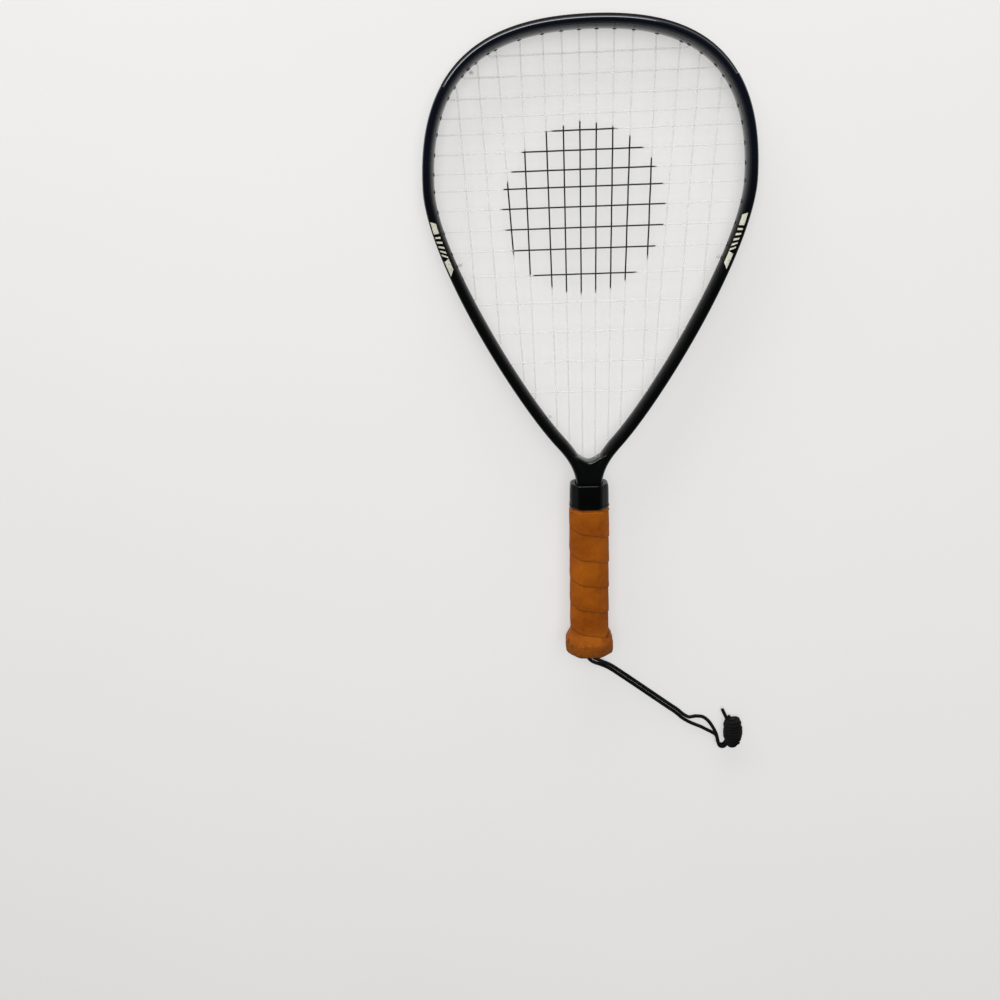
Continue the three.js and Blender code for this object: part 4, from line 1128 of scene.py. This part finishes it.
def rubber_material():
    m = Nodes("glossy_rubber")
    cloud = m.noise(60, 4, 0.6)
    dust = m.ramp(m.noise(500, 3, 0.7), (0.58, 0), (0.7, 1))
    tone = m.mix(cloud, (0.0009, 0.001, 0.001), (0.002, 0.0021, 0.0021))
    tone = m.mix(m.times(dust, 0.02), tone, (0.1, 0.1, 0.1))
    rough = m.math("ADD", m.range(cloud, 0.3, 0.7, 0.04, 0.07), m.times(dust, 0.1))
    m.set(Base_Color=tone, Roughness=rough, Specular_IOR_Level=0.2)
    return m.set(Normal=m.bump(m.noise(700, 3), 0.03, 0.0002))


def make_collar():
    rings = []
    for share, way, inset in COLLAR_ROWS:
        y = lerp(COLLAR_BOTTOM_Y, COLLAR_TOP_Y, share)
        half_width = SHAFT_HALF_WIDTH + COLLAR_WIDER * eased((share - 0.8) * 5)
        outer = grip_ring(inset, y, COLLAR_ROUND)
        inner = octagon(half_width, SHAFT_HALF_DEPTH, SHAFT_CUT, y, SHAFT_ROUND)
        rings.append([a.lerp(b, way) for a, b in zip(outer, inner)])
    rings.append(octagon(SHAFT_HALF_WIDTH, SHAFT_HALF_DEPTH, SHAFT_CUT, COLLAR_INNER_Y, SHAFT_ROUND))
    rings += [grip_ring(COLLAR_INNER_INSET, y) for y in (COLLAR_INNER_Y, COLLAR_BOTTOM_Y + 0.1)]
    points, faces = lofted(rings, caps=False, close_rows=True)
    piece = add_mesh("collar_ring", laid(points), faces)
    finish_piece(piece, rubber_material(), "black_rubber", "grip_collar")


make_collar()

# Butt cap, the cord's knot inside it, the tape under the collar and the core

CAP_TOP_Y, CAP_WALL, CAP_RIM_DRAW = 31, 1.2, 0.8
UNDER_LEATHER = LEATHER + 0.3
CAP_RIM = [(0, 1.0), (0.25, 0.45), (0.7, 0.12), (1.2, 0), (1.9, 0.05), (2.3, 0.4)]
CAP_SLEEVE = (2.3, 5.4, 9.2, 14, 21, 26, CAP_TOP_Y)
CAP_HOLE = [(CAP_FLOOR, 4.7), (CAP_FLOOR - 0.5, 4.1), (1.2, 4), (0.5, 4.1), (0, 4.8)]
CAP_DISH = [(0.55, 0.5), (0.8, 0.35), (0.93, 0.1)]


def make_cap():
    rings = [grip_ring(CAP_RIM_DRAW - flare(y) + inset, y) for y, inset in CAP_RIM]
    foot = rings[0]
    rings += [grip_ring(UNDER_LEATHER - flare(y), y) for y in CAP_SLEEVE]
    rings += [grip_ring(UNDER_LEATHER + CAP_WALL, y) for y in (CAP_TOP_Y, CAP_FLOOR)]
    turns = [math.atan2(p.z, p.x) for p in grip_ring(0, 0)]
    rings += [[Vector((r * math.cos(turn), y, r * math.sin(turn))) for turn in turns] for y, r in CAP_HOLE]
    rings += [[Vector((p.x * share, y, p.z * share)) for p in foot] for share, y in CAP_DISH]
    points, faces = lofted(rings, caps=False, close_rows=True)
    finish_piece(add_mesh("cap_cup", laid(points), faces), NYLON, "black_nylon", "butt_cap")


make_cap()


STOP_STEPS, STOP_REACH, STOP_Y, STOP_WAVE, STOP_RADIUS, STOP_SIDES = 120, 1.35, 7.5, 1.7, 1.45, 14


def make_stop_knot():
    """An overhand knot too big for the cap's hole."""
    route = []
    for i in range(STOP_STEPS):
        a = i / STOP_STEPS * math.tau
        x = STOP_REACH * (math.sin(a) + 1.1 * math.sin(2 * a))
        z = STOP_REACH * (math.cos(a) - 1.1 * math.cos(2 * a))
        route.append(Vector((x, STOP_Y - STOP_WAVE * math.sin(3 * a), z)))
    points, faces = lofted(tube_rings(route, STOP_RADIUS, STOP_SIDES, braid))
    piece = add_mesh("cord_inner_knot", laid(points), faces)
    finish_piece(piece, CORD_LOOK, "black_cord", "cord_stop_knot")


make_stop_knot()


def plain_part(node, material):
    """A solid whose shape is right as it is: only its material changes."""
    solid = bpy.data.objects[node]
    for slot in solid.material_slots:
        slot.material = material


def foam_material():
    m = Nodes("core_foam_grain")
    m.set(Base_Color=m.mix(m.noise(50, 4), (0.10, 0.095, 0.085), (0.17, 0.16, 0.14)), Roughness=0.9)
    return m.set(Normal=m.bump(m.cells(900), 0.4, 0.0004))


def tape_material():
    m = Nodes("finishing_tape_cloth")
    weave = m.node("ShaderNodeTexWave", {"Vector": m.place, "Scale": 900.0, "Distortion": 1.0}).outputs[1]
    m.set(Base_Color=m.mix(weave, (0.010, 0.010, 0.011), (0.022, 0.022, 0.024)), Roughness=0.6)
    return m.set(Normal=m.bump(weave, 0.3, 0.0002))


plain_part("handle_core", foam_material())
plain_part("finishing_tape", tape_material())

# Floor, light and colour

FLOOR_REACH, FLOOR_STEPS = 3.0, 8


def make_floor():
    """A pale floor that partly glows by itself where it is seen directly."""
    m = Nodes("pale_floor")
    tone = m.mix(m.noise(3, 4), (0.86, 0.85, 0.84), (0.89, 0.88, 0.87))
    m.set(Base_Color=tone, Roughness=0.9, Specular_IOR_Level=0.1)
    m.set(Normal=m.bump(m.noise(400, 3), 0.1, 0.0004))
    path = m.node("ShaderNodeLightPath").outputs
    seen = m.math("MAXIMUM", path["Is Camera Ray"], path["Is Glossy Ray"])
    seen = m.times(m.math("MAXIMUM", seen, path["Is Transmission Ray"]), 0.5)
    glow = m.node("ShaderNodeEmission", {"Color": tone, "Strength": 1.0}).outputs[0]
    mixed = m.node("ShaderNodeMixShader", {0: seen, 1: m.shader.outputs[0], 2: glow}).outputs[0]
    m.put(m.tree.nodes["Material Output"].inputs["Surface"], mixed)
    marks = [lerp(-FLOOR_REACH, FLOOR_REACH, i / FLOOR_STEPS) for i in range(FLOOR_STEPS + 1)]
    points = [(x, y, 0) for y in marks for x in marks]
    floor = add_mesh("floor", points, grid_faces(len(marks), len(marks), close_columns=False))
    floor.data.materials.append(m.look)


def add_lamp(name, place, aim, size, power):
    data = bpy.data.lights.new(name, "AREA")
    data.shape = "RECTANGLE"
    data.size, data.size_y = size
    data.energy = power
    lamp = add_object(name, data)
    lamp.location = place
    lamp.rotation_euler = (Vector(aim) - Vector(place)).to_track_quat("-Z", "Y").to_euler()
    return lamp


def make_light():
    add_lamp("window", (-0.6, 2.1, 0.5), (0, 0.15, 0), (2.8, 0.75), 51)
    overhead = add_lamp("overhead", (0.1, 0.5, 2.2), (0, 0, 0), (2.4, 2.4), 42)
    overhead.visible_glossy = False
    world = Nodes("soft_room", bpy.data.worlds)
    height = world.split(world.generated)[2]
    level = world.range(height, 0.1, 0.75, 0.4, 0.05)
    bpy.context.scene.world = world.set(Color=(0.95, 0.97, 1), Strength=level)
    bpy.context.scene.view_settings.view_transform = "Standard"


make_floor()
make_light()
